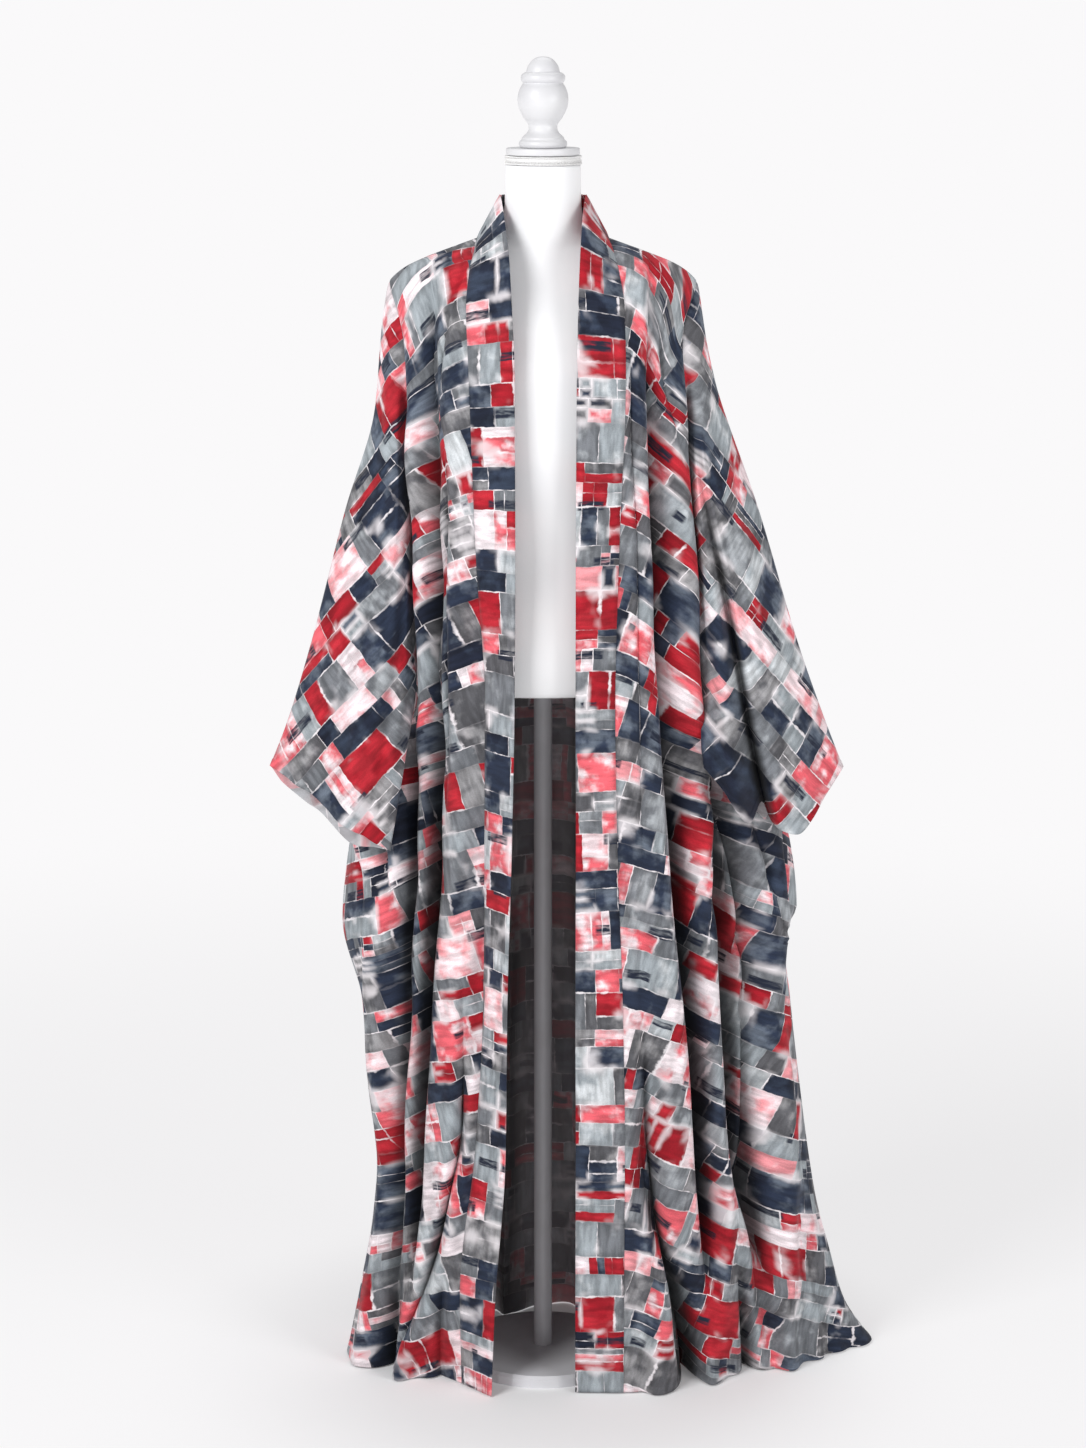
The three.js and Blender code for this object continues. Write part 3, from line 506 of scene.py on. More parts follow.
@dataclass(frozen=True)
class RobeCut:
    """The robe's surfaces as functions of two shares of a panel, worked out from its sizes in millimetres."""

    hem_height: float = 2
    neck_point_x: float = 84
    neck_point_z: float = 1556
    neckline_back_y: float = 64
    shoulder_tip_x: float = 200
    shoulder_tip_z: float = 1500
    shoulder_slope: float = 0.36
    shoulder_round: float = 125
    round_level: float = 0.92
    tip_power: float = 6
    top_power: float = 2.5
    armhole_bottom_level: float = 0.86
    armhole_half_turn: float = 0.36
    armhole_power: float = 1.2
    seam_ease: float = 2.2
    middle_ease: float = 0.4
    side_fade: float = 0.07
    hollow_turn: float = 1.5
    hollow_width: float = 0.3
    ridge_turn: float = 1.08
    ridge_width: float = 0.2
    behind_turn: float = 2.1
    behind_width: float = 0.3
    armhole_blend: float = 0.2
    band_back_free_y: float = 56
    band_back_rise: float = 54
    band_back_share: float = 0.09
    band_free_x: float = 54
    fold_share: float = 1
    steep: float = 1.9
    gentle: float = 0.85
    take_up: float = 1.1
    fold_spread: float = 3
    turn_step: float = 0.01
    side_phase: float = 1.7
    back_phase: float = 2.6
    crease_fade: float = 0.3
    crease_wander: float = 5
    sleeve_wander: float = 0.012
    tuck_reach: float = 3

    def shoulder_height(self, x: Array) -> Array:
        """Height of the shoulder line above points at x from the middle."""
        reach = self.shoulder_tip_x - self.neck_point_x
        share = np.clip((x - self.neck_point_x) / reach, 0, 1)
        drop = self.neck_point_z - self.shoulder_slope * reach - self.shoulder_tip_z
        return self.neck_point_z - self.shoulder_slope * share * reach - drop * share**self.tip_power

    def section(self, side: Side, turn: Array, z: Array) -> tuple[Array, Array]:
        """Points of the body in plan before its folds.

        Args:
            side: The wearer's side.
            turn: Half turns, 0 in front and pi behind.
            z: Heights.

        Returns:
            The distances from the middle, and the Y.
        """
        rows = SECTIONS[side]
        lean, power = rows.at("lean", z), rows.at("power", z)
        front, back = rows.at("front", z), rows.at("back", z)
        reach = np.where(turn < math.pi / 2, lean + front, back - lean)
        x = rows.at("side", z) * rounded(np.sin(turn), power)
        return x, lean - reach * rounded(np.cos(turn), power)

    def deep_folds(self, side: Side, face: str) -> Rows:
        """The large folds and the pleats of one face, as rows of one kind.

        Args:
            side: The wearer's side.
            face: front or back.

        Returns:
            The heights, places, depths and half width of each.
        """
        large = [
            (FOLD_REACH, (places[0], *places, places[-1]), (depths[0], *depths, depths[-1]), width)
            for places, depths, width in FOLDS[side, face]
        ]
        return large + PLEATS[side, face]

    def taken_in(self, side: Side, face: str, x: Array, z: Array) -> Array:
        """How much cloth the valleys of the deep folds take in between the middle and x.

        Args:
            side: The wearer's side.
            face: front or back.
            x: Distances from the middle.
            z: Heights.

        Returns:
            The lengths of cloth.
        """
        cloth = np.zeros_like(x)
        for heights, places, depths, width in self.deep_folds(side, face):
            deep = np.where((z > heights[0]) & (z < heights[-1]), curve_at(heights, depths, z), 0)
            passed = smooth(0.5 + (x - curve_at(heights, places, z)) / (self.fold_spread * width))
            cloth -= self.take_up * np.minimum(deep, 0) * passed
        return cloth

    def folds(self, side: Side, face: str, x: Array, z: Array) -> Array:
        """How far the folds and creases push the body out, on one face.

        Args:
            side: The wearer's side.
            face: front or back.
            x: Distances from the middle.
            z: Heights.

        Returns:
            The depths, negative in a valley.
        """
        depth = np.zeros_like(x)
        for heights, places, depths, width in self.deep_folds(side, face):
            offset = (x - curve_at(heights, places, z)) / width
            offset *= np.where(offset * side.value < 0, self.steep, self.gentle)
            deep = np.where((z > heights[0]) & (z < heights[-1]), curve_at(heights, depths, z), 0)
            depth += deep * bell(offset) + np.minimum(deep, 0) * CREASE_SHARE * bell(offset * CREASE_NARROW)
        turned = self.side_phase * side.value + (self.back_phase if face == "back" else 0)
        for length, height, phase, deep in RIPPLES:
            depth += deep * np.sin(2 * math.pi * (x / length + z / height) + phase + turned)
        ruffled = smooth(1 - z / HEM_RUFFLE_HEIGHT)
        for length, phase, deep in HEM_RUFFLES:
            slanted = 2 * math.pi * (x + HEM_RUFFLE_SLANT * z) / length
            depth += deep * ruffled * np.sin(slanted + phase + turned)
        for i, (low_x, high_x, low_z, high_z, deep, width) in enumerate(CREASES[side, face]):
            share = (z - low_z) / (high_z - low_z)
            ends = smooth(share / self.crease_fade) * smooth((1 - share) / self.crease_fade)
            wander = self.crease_wander * np.sin(z / (52 + 7 * (i % 5)) + 1.7 * i)
            offset = (x - low_x - (high_x - low_x) * share - wander) / width
            depth += deep * ends * crease(offset)
        return depth

    def level(self, level: Array, top_z: Array) -> tuple[Array, Array]:
        """Where levels lie, with the shoulder's round at the top.

        Args:
            level: Levels from the hem (0) to the top edge (1).
            top_z: Height of each column's top.

        Returns:
            The heights, and the share of its full reach that the cloth has there.
        """
        start = top_z - self.shoulder_round
        angle = math.pi / 2 * (level - self.round_level) / (1 - self.round_level)
        low = level <= self.round_level
        z = np.where(
            low,
            self.hem_height + (start - self.hem_height) * level / self.round_level,
            start + self.shoulder_round * np.sin(angle),
        )
        return z, np.where(low, 1.0, np.cos(angle))

    def folded(self, side: Side, turn: Array, level: Array, top_x: Array, top_z: Array) -> Array:
        """Points of the body with its folds.

        Args:
            side: The wearer's side.
            turn: Half turns, 0 in front and pi behind.
            level: Levels from the hem (0) to the top edge (1).
            top_x: Distance of each column's top from the middle.
            top_z: Height of each column's top.

        Returns:
            The points, with X as the distance from the middle.
        """
        z, round_share = self.level(level, top_z)
        front = turn < math.pi / 2
        x, y = self.section(side, turn, z)
        ahead_x, ahead_y = self.section(side, turn + self.turn_step, z)
        behind_x, behind_y = self.section(side, turn - self.turn_step, z)
        length = np.maximum(np.hypot(ahead_x - behind_x, ahead_y - behind_y), 1e-9)
        normal_x, normal_y = (ahead_y - behind_y) / length, -(ahead_x - behind_x) / length
        inside = smooth((1 - x / SECTIONS[side].at("side", z)) / self.side_fade)
        creased = np.where(front, self.folds(side, "front", x, z), self.folds(side, "back", x, z)) * inside
        nooks = NOOKS[side]
        creased += nooks.at("hollow", z) * bell((turn - self.hollow_turn) / self.hollow_width)
        creased += nooks.at("ridge", z) * bell((turn - self.ridge_turn) / self.ridge_width)
        creased += nooks.at("behind", z) * bell((turn - self.behind_turn) / self.behind_width)
        depth = creased * np.abs(round_share) * self.fold_share
        inner = np.clip(top_x / self.neck_point_x, -1, 1)
        neckline = self.neckline_back_y * np.sqrt(1 - inner * inner)
        edge = np.where(front | (top_x >= self.neck_point_x), 0, neckline)
        y = edge + (y + normal_y * depth - edge) * round_share
        return np.stack([x + normal_x * depth, y, z], axis=-1)

    def armhole_turn(self, level: Array) -> Array:
        """How far the armhole opens from the side at levels from the hem (0) to the shoulder (1)."""
        share = np.clip((level - self.armhole_bottom_level) / (1 - self.armhole_bottom_level), 0, 1)
        return self.armhole_half_turn * np.sin(math.pi * share) ** self.armhole_power

    @staticmethod
    def band_edges(side: Side, z: Array) -> tuple[Array, Array]:
        """The band's sewn and free edges at heights up one front, with X as the distance from the middle."""
        rows = BANDS[side]
        sewn = np.stack([rows.at("sewn_x", z), rows.at("sewn_y", z), z], axis=-1)
        free = np.stack([rows.at("free_x", z), rows.at("free_y", z), z + rows.at("rise", z)], axis=-1)
        return sewn, free

    def front(self, side: Side, across: Array, level: Array) -> Array:
        """A front panel's points.

        Args:
            side: The wearer's side.
            across: Shares from the band's seam (0) to the side (1), or below 0 under the band.
            level: Levels from the hem (0) to the shoulder (1).

        Returns:
            The points.
        """
        tucked = np.minimum(across, 0)
        across = np.maximum(across, 0)
        start = turn_at(self.neck_point_x, self.shoulder_tip_x, self.top_power)
        top_x = self.shoulder_tip_x * rounded(np.sin(start + (math.pi / 2 - start) * across), self.top_power)
        top_z = self.shoulder_height(top_x)
        z, _ = self.level(level, top_z)
        rows = SECTIONS[side]
        seam, free = self.band_edges(side, z)
        begin = turn_at(seam[..., 0], rows.at("side", z), rows.at("power", z))
        end = math.pi / 2 - self.armhole_turn(level)
        points = self.folded(side, begin + (end - begin) * across, level, top_x, top_z)
        shift = seam - self.folded(side, begin, level, top_x, top_z)
        points += shift * (np.maximum(0, 1 - across) ** self.seam_ease)[..., None]
        points -= (free - seam) * tucked[..., None] * self.tuck_reach
        points[..., 0] *= side.value
        return points

    def back_top(self, share: Array) -> Array:
        """Distance from the middle of the back's top edge, from the shoulder tip (0) to the middle (1)."""
        return self.shoulder_tip_x * rounded(np.sin(math.pi / 2 * (1 + share)), self.top_power)

    def neckline_shares(self, points: int = 7) -> Array:
        """Shares across the back where its top edge bends tightly, at both neck points."""
        fine = np.linspace(0, 1, 2001)
        wanted = self.neck_point_x * np.sin(np.linspace(math.pi / 2, math.pi / 6, points))
        share = np.interp(-wanted, -self.back_top(fine), fine) / 2
        return np.concatenate([share, 1 - share])

    def back(self, across: Array, level: Array) -> Array:
        """The back panel's points, with both halves eased together at the middle.

        Args:
            across: Shares from the right side (0) over the middle (0.5) to the left side (1).
            level: Levels from the hem (0) to the top edge (1).

        Returns:
            The points.
        """
        share = 1 - np.abs(2 * across - 1)
        top_x = self.back_top(share)
        top_z = self.shoulder_height(top_x)
        start = math.pi / 2 + self.armhole_turn(level)
        turn = start + (math.pi - start) * share
        middle_turn, middle_x = np.full_like(turn, math.pi), np.zeros_like(turn)
        neck_z = np.full_like(turn, self.neck_point_z)
        halves = {side: self.folded(side, turn, level, top_x, top_z) for side in Side}
        middles = {side: self.folded(side, middle_turn, level, middle_x, neck_z)[..., 1] for side in Side}
        right = across < 0.5
        points = np.where(right[..., None], halves[Side.RIGHT], halves[Side.LEFT])
        own = np.where(right, middles[Side.RIGHT], middles[Side.LEFT])
        shift = (middles[Side.RIGHT] + middles[Side.LEFT]) / 2 - own
        points[..., 1] += shift * smooth((share - self.middle_ease) / (1 - self.middle_ease))
        points[..., 0] *= np.where(right, -1, 1)
        return points

    def armhole(self, side: Side, face: str, down: Array) -> Array:
        """The armhole's edge on the body, down from the shoulder tip (0) to the underarm (1), on one face."""
        level = 1 - (1 - self.armhole_bottom_level) * down
        turn = math.pi / 2 + self.armhole_turn(level) * (-1 if face == "front" else 1)
        tip_x = np.full_like(down, self.shoulder_tip_x)
        return self.folded(side, turn, level, tip_x, np.full_like(down, self.shoulder_tip_z))

    def sleeve_layer(self, side: Side, face: str, down: Array, share: Array) -> Array:
        """The points of one layer of a sleeve.

        Args:
            side: The wearer's side.
            face: front or back.
            down: Shares from the overarm (0) to the underarm (1).
            share: Shares from the armhole (0) to the cuff (1).

        Returns:
            The points, with X as the distance from the middle.
        """
        rows = SLEEVES[side]
        out = -1 if face == "front" else 1
        bulge = rows.at("half", share) * np.sin(math.pi * down) ** 0.7
        folded = np.zeros_like(bulge)
        sag = CUFFS[side].at(face, down) * share**3
        grown = smooth(share * 2)
        for top, cuff, deep_top, deep_cuff, width in SLEEVE_FOLDS[side, face]:
            offset = (down - top - (cuff - top) * share) / width
            folded += (deep_top + (deep_cuff - deep_top) * share) * bell(offset) * grown
        for i, (top, cuff, begin, end, deep, width) in enumerate(SLEEVE_CREASES[side, face]):
            along = (share - begin) / (end - begin)
            last = np.where(end < 1, smooth((1 - along) / self.crease_fade), 1)
            ends = smooth(along / self.crease_fade) * last
            wander = self.sleeve_wander * np.sin(share * (11 + i % 4) + 1.3 * i)
            offset = (down - top - (cuff - top) * share - wander) / width
            folded += deep * ends * grown * crease(offset)
        bulge += folded * self.fold_share
        over, under = [
            np.stack([rows.at(f"{edge}_{axis}", share) for axis in "xyz"], axis=-1)
            for edge in ("over", "under")
        ]
        hanging = over + (under - over) * down[..., None]
        hanging[..., 1] += out * bulge
        hanging[..., 2] -= sag
        reach = 1 - (1 - np.clip(share / self.armhole_blend, 0, 1)) ** 2
        return self.armhole(side, face, down) * (1 - reach[..., None]) + hanging * reach[..., None]

    def sleeve(self, side: Side, around: Array, share: Array) -> Array:
        """A sleeve's points, both layers in one tube.

        Args:
            side: The wearer's side.
            around: Shares from the underarm (-0.5) behind, over the overarm (0), to the underarm (0.5).
            share: Shares from the armhole (0) to the cuff (1).

        Returns:
            The points.
        """
        around = (around + 0.5) % 1 - 0.5
        down = 2 * np.abs(around)
        front = (around > 0)[..., None]
        layers = [self.sleeve_layer(side, face, down, share) for face in ("front", "back")]
        points = np.where(front, layers[0], layers[1])
        points[..., 0] *= side.value
        return points

    def band(self, across: Array, along: Array) -> Array:
        """The band's points.

        Args:
            across: Shares from the sewn edge (0) to the free one (1).
            along: Shares from the right hem (0) round the neck to the left hem (1).

        Returns:
            The points.
        """
        half = 0.5 - self.band_back_share
        up = np.clip(np.where(along < 0.5, along, 1 - along) / half, 0, 1)
        z, _ = self.level(up, np.full_like(up, self.neck_point_z))
        sides = []
        for side in Side:
            sewn, free = self.band_edges(side, z)
            points = sewn + (free - sewn) * across[..., None]
            points[..., 0] *= side.value
            sides.append(points)
        angle = math.pi * np.clip((along - half) / (2 * self.band_back_share), 0, 1)
        cos, sin, flat = np.cos(angle), np.sin(angle), np.ones_like(angle)
        low, top = self.neck_point_z * flat, (self.neck_point_z + self.band_back_rise) * flat
        sewn = np.stack([-self.neck_point_x * cos, self.neckline_back_y * sin, low], axis=-1)
        free = np.stack([-self.band_free_x * cos, self.band_back_free_y * sin, top], axis=-1)
        neck = sewn + (free - sewn) * across[..., None]
        front = np.where((along < 0.5)[..., None], sides[0], sides[1])
        return np.where((np.abs(along - 0.5) > self.band_back_share)[..., None], front, neck)


@dataclass(frozen=True)
class Cloth:
    """How a surface becomes a thin shell: its thickness, its outer face's place and its seams' relief."""

    thickness: float = 1.2
    lift: float = 1.5
    hem_depth: float = 9
    hem_relief: float = 0.7
    hem_end: float = 2
    stitch_depth: float = 0.4
    stitch_width: float = 1.2
    seam_depth: float = 0.8
    seam_width: float = 1.6
    armhole_seam_width: float = 2.2
    sleeve_lift: float = 0.6
    band_thickness: float = 1.7
    band_lift: float = 3.4
    band_seam: tuple[float, float] = (0.9, 1.8)
    band_fold: tuple[float, float] = (0.5, 1.2)

    def hem(self, along: Array) -> Array:
        """The turned hem's height at distances from the edge."""
        return self.hem_relief * (1 - smooth((along - self.hem_depth) / self.hem_end))


@dataclass(frozen=True)
class Pattern:
    """One cloth piece's cut in metres: its print's tilt in degrees and start, its flat size and its area."""

    tilt: float
    start: tuple[float, float]
    flat: tuple[float, float]
    area: float
    slot: str = "cloth"


PATTERNS = {
    "front_right": Pattern(17, (0.31, 0.11), (0.32, 1.6), 0.4),
    "front_left": Pattern(17, (2.07, 1.42), (0.46, 1.6), 0.56),
    "back_panel": Pattern(0, (4.0, 0.52), (0.98, 1.6), 1.2),
    "sleeve_right": Pattern(43, (5.2, 0.83), (0.46, 0.7), 0.25),
    "sleeve_left": Pattern(43, (7.3, 0.83), (0.46, 0.7), 0.25),
    "neckband": Pattern(0, (8.1, 0.27), (0.09, 3.3), 0.24, "band"),
}


def normals_of(surface: Surface, a: Array, b: Array, low_b: float, high_b: float) -> Array:
    """Unit normals of a surface, by small steps that stay between two limits of b.

    Args:
        surface: The surface.
        a: The first shares.
        b: The second shares.
        low_b: The least b that is read.
        high_b: The most b that is read.

    Returns:
        The normals.
    """
    step = 1e-3
    along_a = surface(a + step, b) - surface(a - step, b)
    along_b = surface(a, np.minimum(b + step, high_b)) - surface(a, np.maximum(b - step, low_b))
    normal = np.cross(along_a, along_b)
    return normal / np.maximum(np.linalg.norm(normal, axis=-1, keepdims=True), 1e-12)


def lengths(points: Array, axis: int, start: int) -> Array:
    """Distances along a grid of points from one of its lines.

    Args:
        points: The grid, rows by columns by 3.
        axis: 0 to measure along the columns' direction, 1 along the rows.
        start: The line where the distance is 0.

    Returns:
        The distances, negative before that line.
    """
    steps = np.linalg.norm(np.diff(points, axis=axis), axis=-1)
    summed = np.cumsum(steps, axis=axis)
    zero = np.zeros_like(np.take(summed, [0], axis=axis))
    summed = np.concatenate([zero, summed], axis=axis)
    return summed - np.take(summed, [start], axis=axis)


def sleeve_cut(points: Array, over: int) -> tuple[Array, Array]:
    """Places on a sleeve laid flat, with its front as it hangs and its back turned out about the overarm.

    Args:
        points: The sleeve's grid, rows by columns by 3.
        over: The column of the overarm.

    Returns:
        The distances across and down.
    """
    flat = points.copy()
    flat[..., 2] = 0
    away = -np.abs(lengths(flat, 1, over))
    top_x, top_z = np.abs(points[:, over : over + 1, 0]), points[:, over : over + 1, 2]
    drop = points[..., 2] - top_z
    doubled = 2 * math.atan2(top_z[-1, 0] - top_z[0, 0], top_x[-1, 0] - top_x[0, 0])
    cos, sin = math.cos(doubled), math.sin(doubled)
    back = np.arange(points.shape[1]) < over
    x = top_x + np.where(back, cos * away + sin * drop, away)
    z = top_z + np.where(back, sin * away - cos * drop, drop)
    return -x, -z


def clear_of_form(points: Array, gap: float = 1.03, low: float = 890, full: float = 960) -> Array:
    """Points of the cloth, moved out to rest on the form's torso where they would lie inside it.

    Args:
        points: The points in millimetres.
        gap: How many times the torso's own size they keep to.
        low: The height below which the form isn't there.
        full: The height above which the whole gap is kept.

    Returns:
        The points.
    """
    x, y, z = points[..., 0], points[..., 1], points[..., 2]
    power = TORSO.at("power", z)
    deep = np.where(y < 0, TORSO.at("front", z), TORSO.at("back", z))
    reach = (np.abs(x / TORSO.at("side", z)) ** power + np.abs(y / deep) ** power) ** (1 / power)
    least = gap * smooth((z - low) / (full - low)) * (z < TORSO.columns["z"][-1])
    grown = np.maximum(1, least / np.maximum(reach, 1e-3))
    return points * np.stack([grown, grown, np.ones_like(grown)], axis=-1)


def eased(points: Array, passes: int, edge: int, top: int) -> Array:
    """A grid of points smoothed along its columns, and left as it is at its sides and ends.

    Args:
        points: The grid, rows by columns by 3.
        passes: How often it is smoothed.
        edge: How many columns at each side go from none of it to all.
        top: How many rows below the last one go from none of it to all.

    Returns:
        The smoothed grid.
    """
    rows, columns = np.arange(points.shape[0])[::-1], np.arange(points.shape[1])
    share = (smooth(rows / top)[:, None] * smooth(np.minimum(columns, columns[::-1]) / edge))[..., None]
    soft = points.copy()
    for _ in range(passes):
        soft[1:-1] = (soft[:-2] + 2 * soft[1:-1] + soft[2:]) / 4
    return points + (soft - points) * share


def even_shares(surface: Surface, count: int, low: Array, samples: int = 1200) -> Array:
    """Shares across a surface that lie about evenly apart on its folds.

    Args:
        surface: The surface.
        count: How many steps there are.
        low: The rows at which the surface is measured.
        samples: How finely it is measured.

    Returns:
        The shares, from 0 to 1.
    """
    fine = np.linspace(0, 1, samples + 1)
    grid_a, grid_b = np.meshgrid(fine, low)
    along = lengths(surface(grid_a, grid_b), 1, 0)
    mean = (along / along[:, -1:]).mean(axis=0)
    return np.interp(np.linspace(0, 1, count + 1), mean, fine)


def placed(bm: bmesh.types.BMesh, name: str) -> bpy.types.Object:
    """Puts a bmesh in the scene as an object, and frees it.

    Args:
        bm: The shape.
        name: The object's name.

    Returns:
        The object.
    """
    mesh = bpy.data.meshes.new(name)
    bm.to_mesh(mesh)
    bm.free()
    piece = bpy.data.objects.new(name, mesh)
    bpy.context.scene.collection.objects.link(piece)
    return piece


def grid_object(
    name: str, points: Array, maps: dict[str, Array], flip: bool, join: bool, close: bool = False
) -> bpy.types.Object:
    """A sheet of faces through a grid of points.

    Args:
        name: The piece's name.
        points: The grid in metres, rows by columns by 3.
        maps: UV maps by name, each rows by columns by 2, in metres.
        flip: Whether to turn the faces round.
        join: Whether the first and last columns meet and are merged.
        close: Whether both open ends are filled.

    Returns:
        The object, in the scene.
    """
    rows, columns = points.shape[:2]
    bm = bmesh.new()
    bmesh.ops.create_grid(bm, x_segments=columns - 1, y_segments=rows - 1, size=1)
    i = [round((v.co.x + 1) / 2 * (columns - 1)) for v in bm.verts]
    j = [round((v.co.y + 1) / 2 * (rows - 1)) for v in bm.verts]
    flat = points[j, i]
    for vert, place in zip(bm.verts, flat):
        vert.co = place
    bm.verts.index_update()
    layers = {key: bm.loops.layers.uv.new(key) for key in maps}
    values = {key: grid[j, i] for key, grid in maps.items()}
    for face in bm.faces:
        face.smooth = True
        for loop in face.loops:
            for key, layer in layers.items():
                loop[layer].uv = values[key][loop.vert.index]
    if flip:
        bmesh.ops.reverse_faces(bm, faces=bm.faces)
    if join:
        bmesh.ops.remove_doubles(bm, verts=bm.verts, dist=1e-5)
    if close:
        close_ends(bm)
    return placed(bm, name)


def close_ends(bm: bmesh.types.BMesh) -> None:
    """Fills a shape's open ends and points its faces outwards."""
    rims = [edge for edge in bm.edges if edge.is_boundary]
    if rims:
        bmesh.ops.holes_fill(bm, edges=rims, sides=0)
    bmesh.ops.recalc_face_normals(bm, faces=bm.faces)


def thicken(piece: bpy.types.Object, thickness: float, wrong_side: bool) -> None:
    """Gives a sheet its thickness behind its face.

    Args:
        piece: The sheet.
        thickness: Its thickness in metres.
        wrong_side: Whether its back takes the second material.
    """
    shell = piece.modifiers.new("thickness", "SOLIDIFY")
    shell.thickness = thickness
    shell.offset = -1
    shell.use_rim = True
    shell.material_offset = 1 if wrong_side else 0
    shell.material_offset_rim = 0


def graded(count: int, low_fine: int = 0, high_fine: int = 0, fine_share: float = 0.01) -> Array:
    """Shares from 0 to 1, with extra ones near the ends.

    Args:
        count: Even steps in the middle.
        low_fine: Extra steps near 0.
        high_fine: Extra steps near 1.
        fine_share: How far in from an end its extra steps reach.

    Returns:
        The shares, rising.
    """
    parts = [np.linspace(fine_share if low_fine else 0, 1 - fine_share if high_fine else 1, count + 1)]
    if low_fine:
        parts.insert(0, np.linspace(0, fine_share, low_fine + 1)[:-1])
    if high_fine:
        parts.append(np.linspace(1 - fine_share, 1, high_fine + 1)[1:])
    return np.concatenate(parts)


Socket = bpy.types.NodeSocket


@dataclass
class Graph:
    """A material's nodes, with short calls to add and join them."""

    name: str
    material: bpy.types.Material = field(init=False)

    def __post_init__(self) -> None:
        """Makes the material with an empty tree."""
        self.material = bpy.data.materials.new(self.name)
        self.material.use_nodes = True
        self.material.node_tree.nodes.clear()

    def add(self, kind: str, settings: dict | None = None, **inputs: object) -> bpy.types.Node:
        """Adds a node.

        Args:
            kind: The node's type, without ShaderNode.
            settings: The node's own properties.
            **inputs: Values or sockets by input name, with _ for a space.

        Returns:
            The node.
        """
        node = self.material.node_tree.nodes.new("ShaderNode" + kind)
        for key, value in (settings or {}).items():
            setattr(node, key, value)
        for key, value in inputs.items():
            self.feed(node.inputs[key.replace("_", " ")], value)
        return node

    def feed(self, socket: Socket, value: object) -> None:
        """Links a socket to an input, or sets the input's value."""
        if isinstance(value, bpy.types.NodeSocket):
            self.material.node_tree.links.new(value, socket)
        elif value is not None:
            socket.default_value = value

    def math(self, operation: str, *values: object) -> Socket:
        """The result of a Math node on sockets or numbers."""
        node = self.add("Math", {"operation": operation})
        for socket, value in zip(node.inputs, values):
            self.feed(socket, value)
        return node.outputs[0]

    def plus(self, first: object, second: object) -> Socket:
        """The sum of two values."""
        return self.math("ADD", first, second)

    def less(self, first: object, second: object) -> Socket:
        """A value less another."""
        return self.math("SUBTRACT", first, second)

    def times(self, first: object, second: object) -> Socket:
        """The product of two values."""
        return self.math("MULTIPLY", first, second)

    def above(self, value: object, limit: float) -> Socket:
        """1 where a value is above a limit, else 0."""
        return self.math("GREATER_THAN", value, limit)

    def whole(self, value: object) -> tuple[Socket, Socket]:
        """The whole part of a value, and the rest."""
        return self.math("FLOOR", value), self.math("FRACT", value)

    def wavy(self, value: object, pace: float, depth: float, phase: object = 0.0) -> Socket:
        """A value with a slow wave added, so that its even steps become uneven."""
        wave = self.math("SINE", self.math("MULTIPLY_ADD", value, pace, phase))
        return self.math("MULTIPLY_ADD", wave, depth, value)

    def drift(self, place: Socket, scale: float, detail: float, reach: float) -> Socket:
        """A random sideways shift of up to about half a reach, with noise of a scale."""
        centred = self.move(self.noise(place, scale, detail, True), (-0.5, -0.5, -0.5))
        return self.stretch(centred, (reach, reach, 0))

    def choose(self, share: Socket, first: Socket, second: Socket) -> Socket:
        """The first of two values where a share is 0, and the second where it is 1."""
        node = self.add("Mix", {"data_type": "FLOAT"})
        for socket, value in zip((node.inputs[0], node.inputs[2], node.inputs[3]), (share, first, second)):
            self.feed(socket, value)
        return node.outputs[0]

    def vector(self, x: object, y: object, z: object = 0.0) -> Socket:
        """A vector of three sockets or numbers."""
        return self.add("CombineXYZ", X=x, Y=y, Z=z).outputs[0]

    def split(self, vector: Socket) -> tuple[Socket, Socket, Socket]:
        """The three parts of a vector or colour."""
        node = self.add("SeparateXYZ", Vector=vector)
        return node.outputs[0], node.outputs[1], node.outputs[2]

    def move(self, vector: Socket, offset: Socket) -> Socket:
        """A vector moved by another."""
        node = self.add("VectorMath", {"operation": "ADD"})
        self.feed(node.inputs[0], vector)
        self.feed(node.inputs[1], offset)
        return node.outputs[0]

    def stretch(self, vector: Socket, scale: tuple[float, float, float]) -> Socket:
        """A vector scaled on each axis."""
        node = self.add("VectorMath", {"operation": "MULTIPLY"})
        self.feed(node.inputs[0], vector)
        self.feed(node.inputs[1], scale)
        return node.outputs[0]

    def noise(self, vector: Socket, scale: float, detail: float = 2, colour: bool = False) -> Socket:
        """Noise of about a scale's features a metre, as a value or three."""
        node = self.add("TexNoise", {"noise_dimensions": "3D"}, Vector=vector, Scale=scale, Detail=detail)
        return node.outputs["Color" if colour else "Fac"]

    def chance(self, vector: Socket) -> tuple[Socket, Socket]:
        """A random number and a random colour for each whole vector."""
        node = self.add("TexWhiteNoise", {"noise_dimensions": "3D"}, Vector=vector)
        return node.outputs["Value"], node.outputs["Color"]

    def rise(self, value: object, low: float, high: float, to_low: float = 0, to_high: float = 1) -> Socket:
        """A soft step of a value between two limits.

        Args:
            value: The value.
            low: Where the step starts.
            high: Where it ends.
            to_low: The result below it.
            to_high: The result above it.

        Returns:
            The result.
        """
        node = self.add(
            "MapRange",
            {"interpolation_type": "SMOOTHSTEP", "clamp": True},
            Value=value, From_Min=low, From_Max=high, To_Min=to_low, To_Max=to_high,
        )
        return node.outputs[0]

    def mix(self, share: object, first: object, second: object, blend: str = "MIX") -> Socket:
        """A mix of two colours."""
        node = self.add("Mix", {"data_type": "RGBA", "blend_type": blend})
        for socket, value in zip((node.inputs[0], node.inputs[6], node.inputs[7]), (share, first, second)):
            self.feed(socket, value)
        return node.outputs[2]

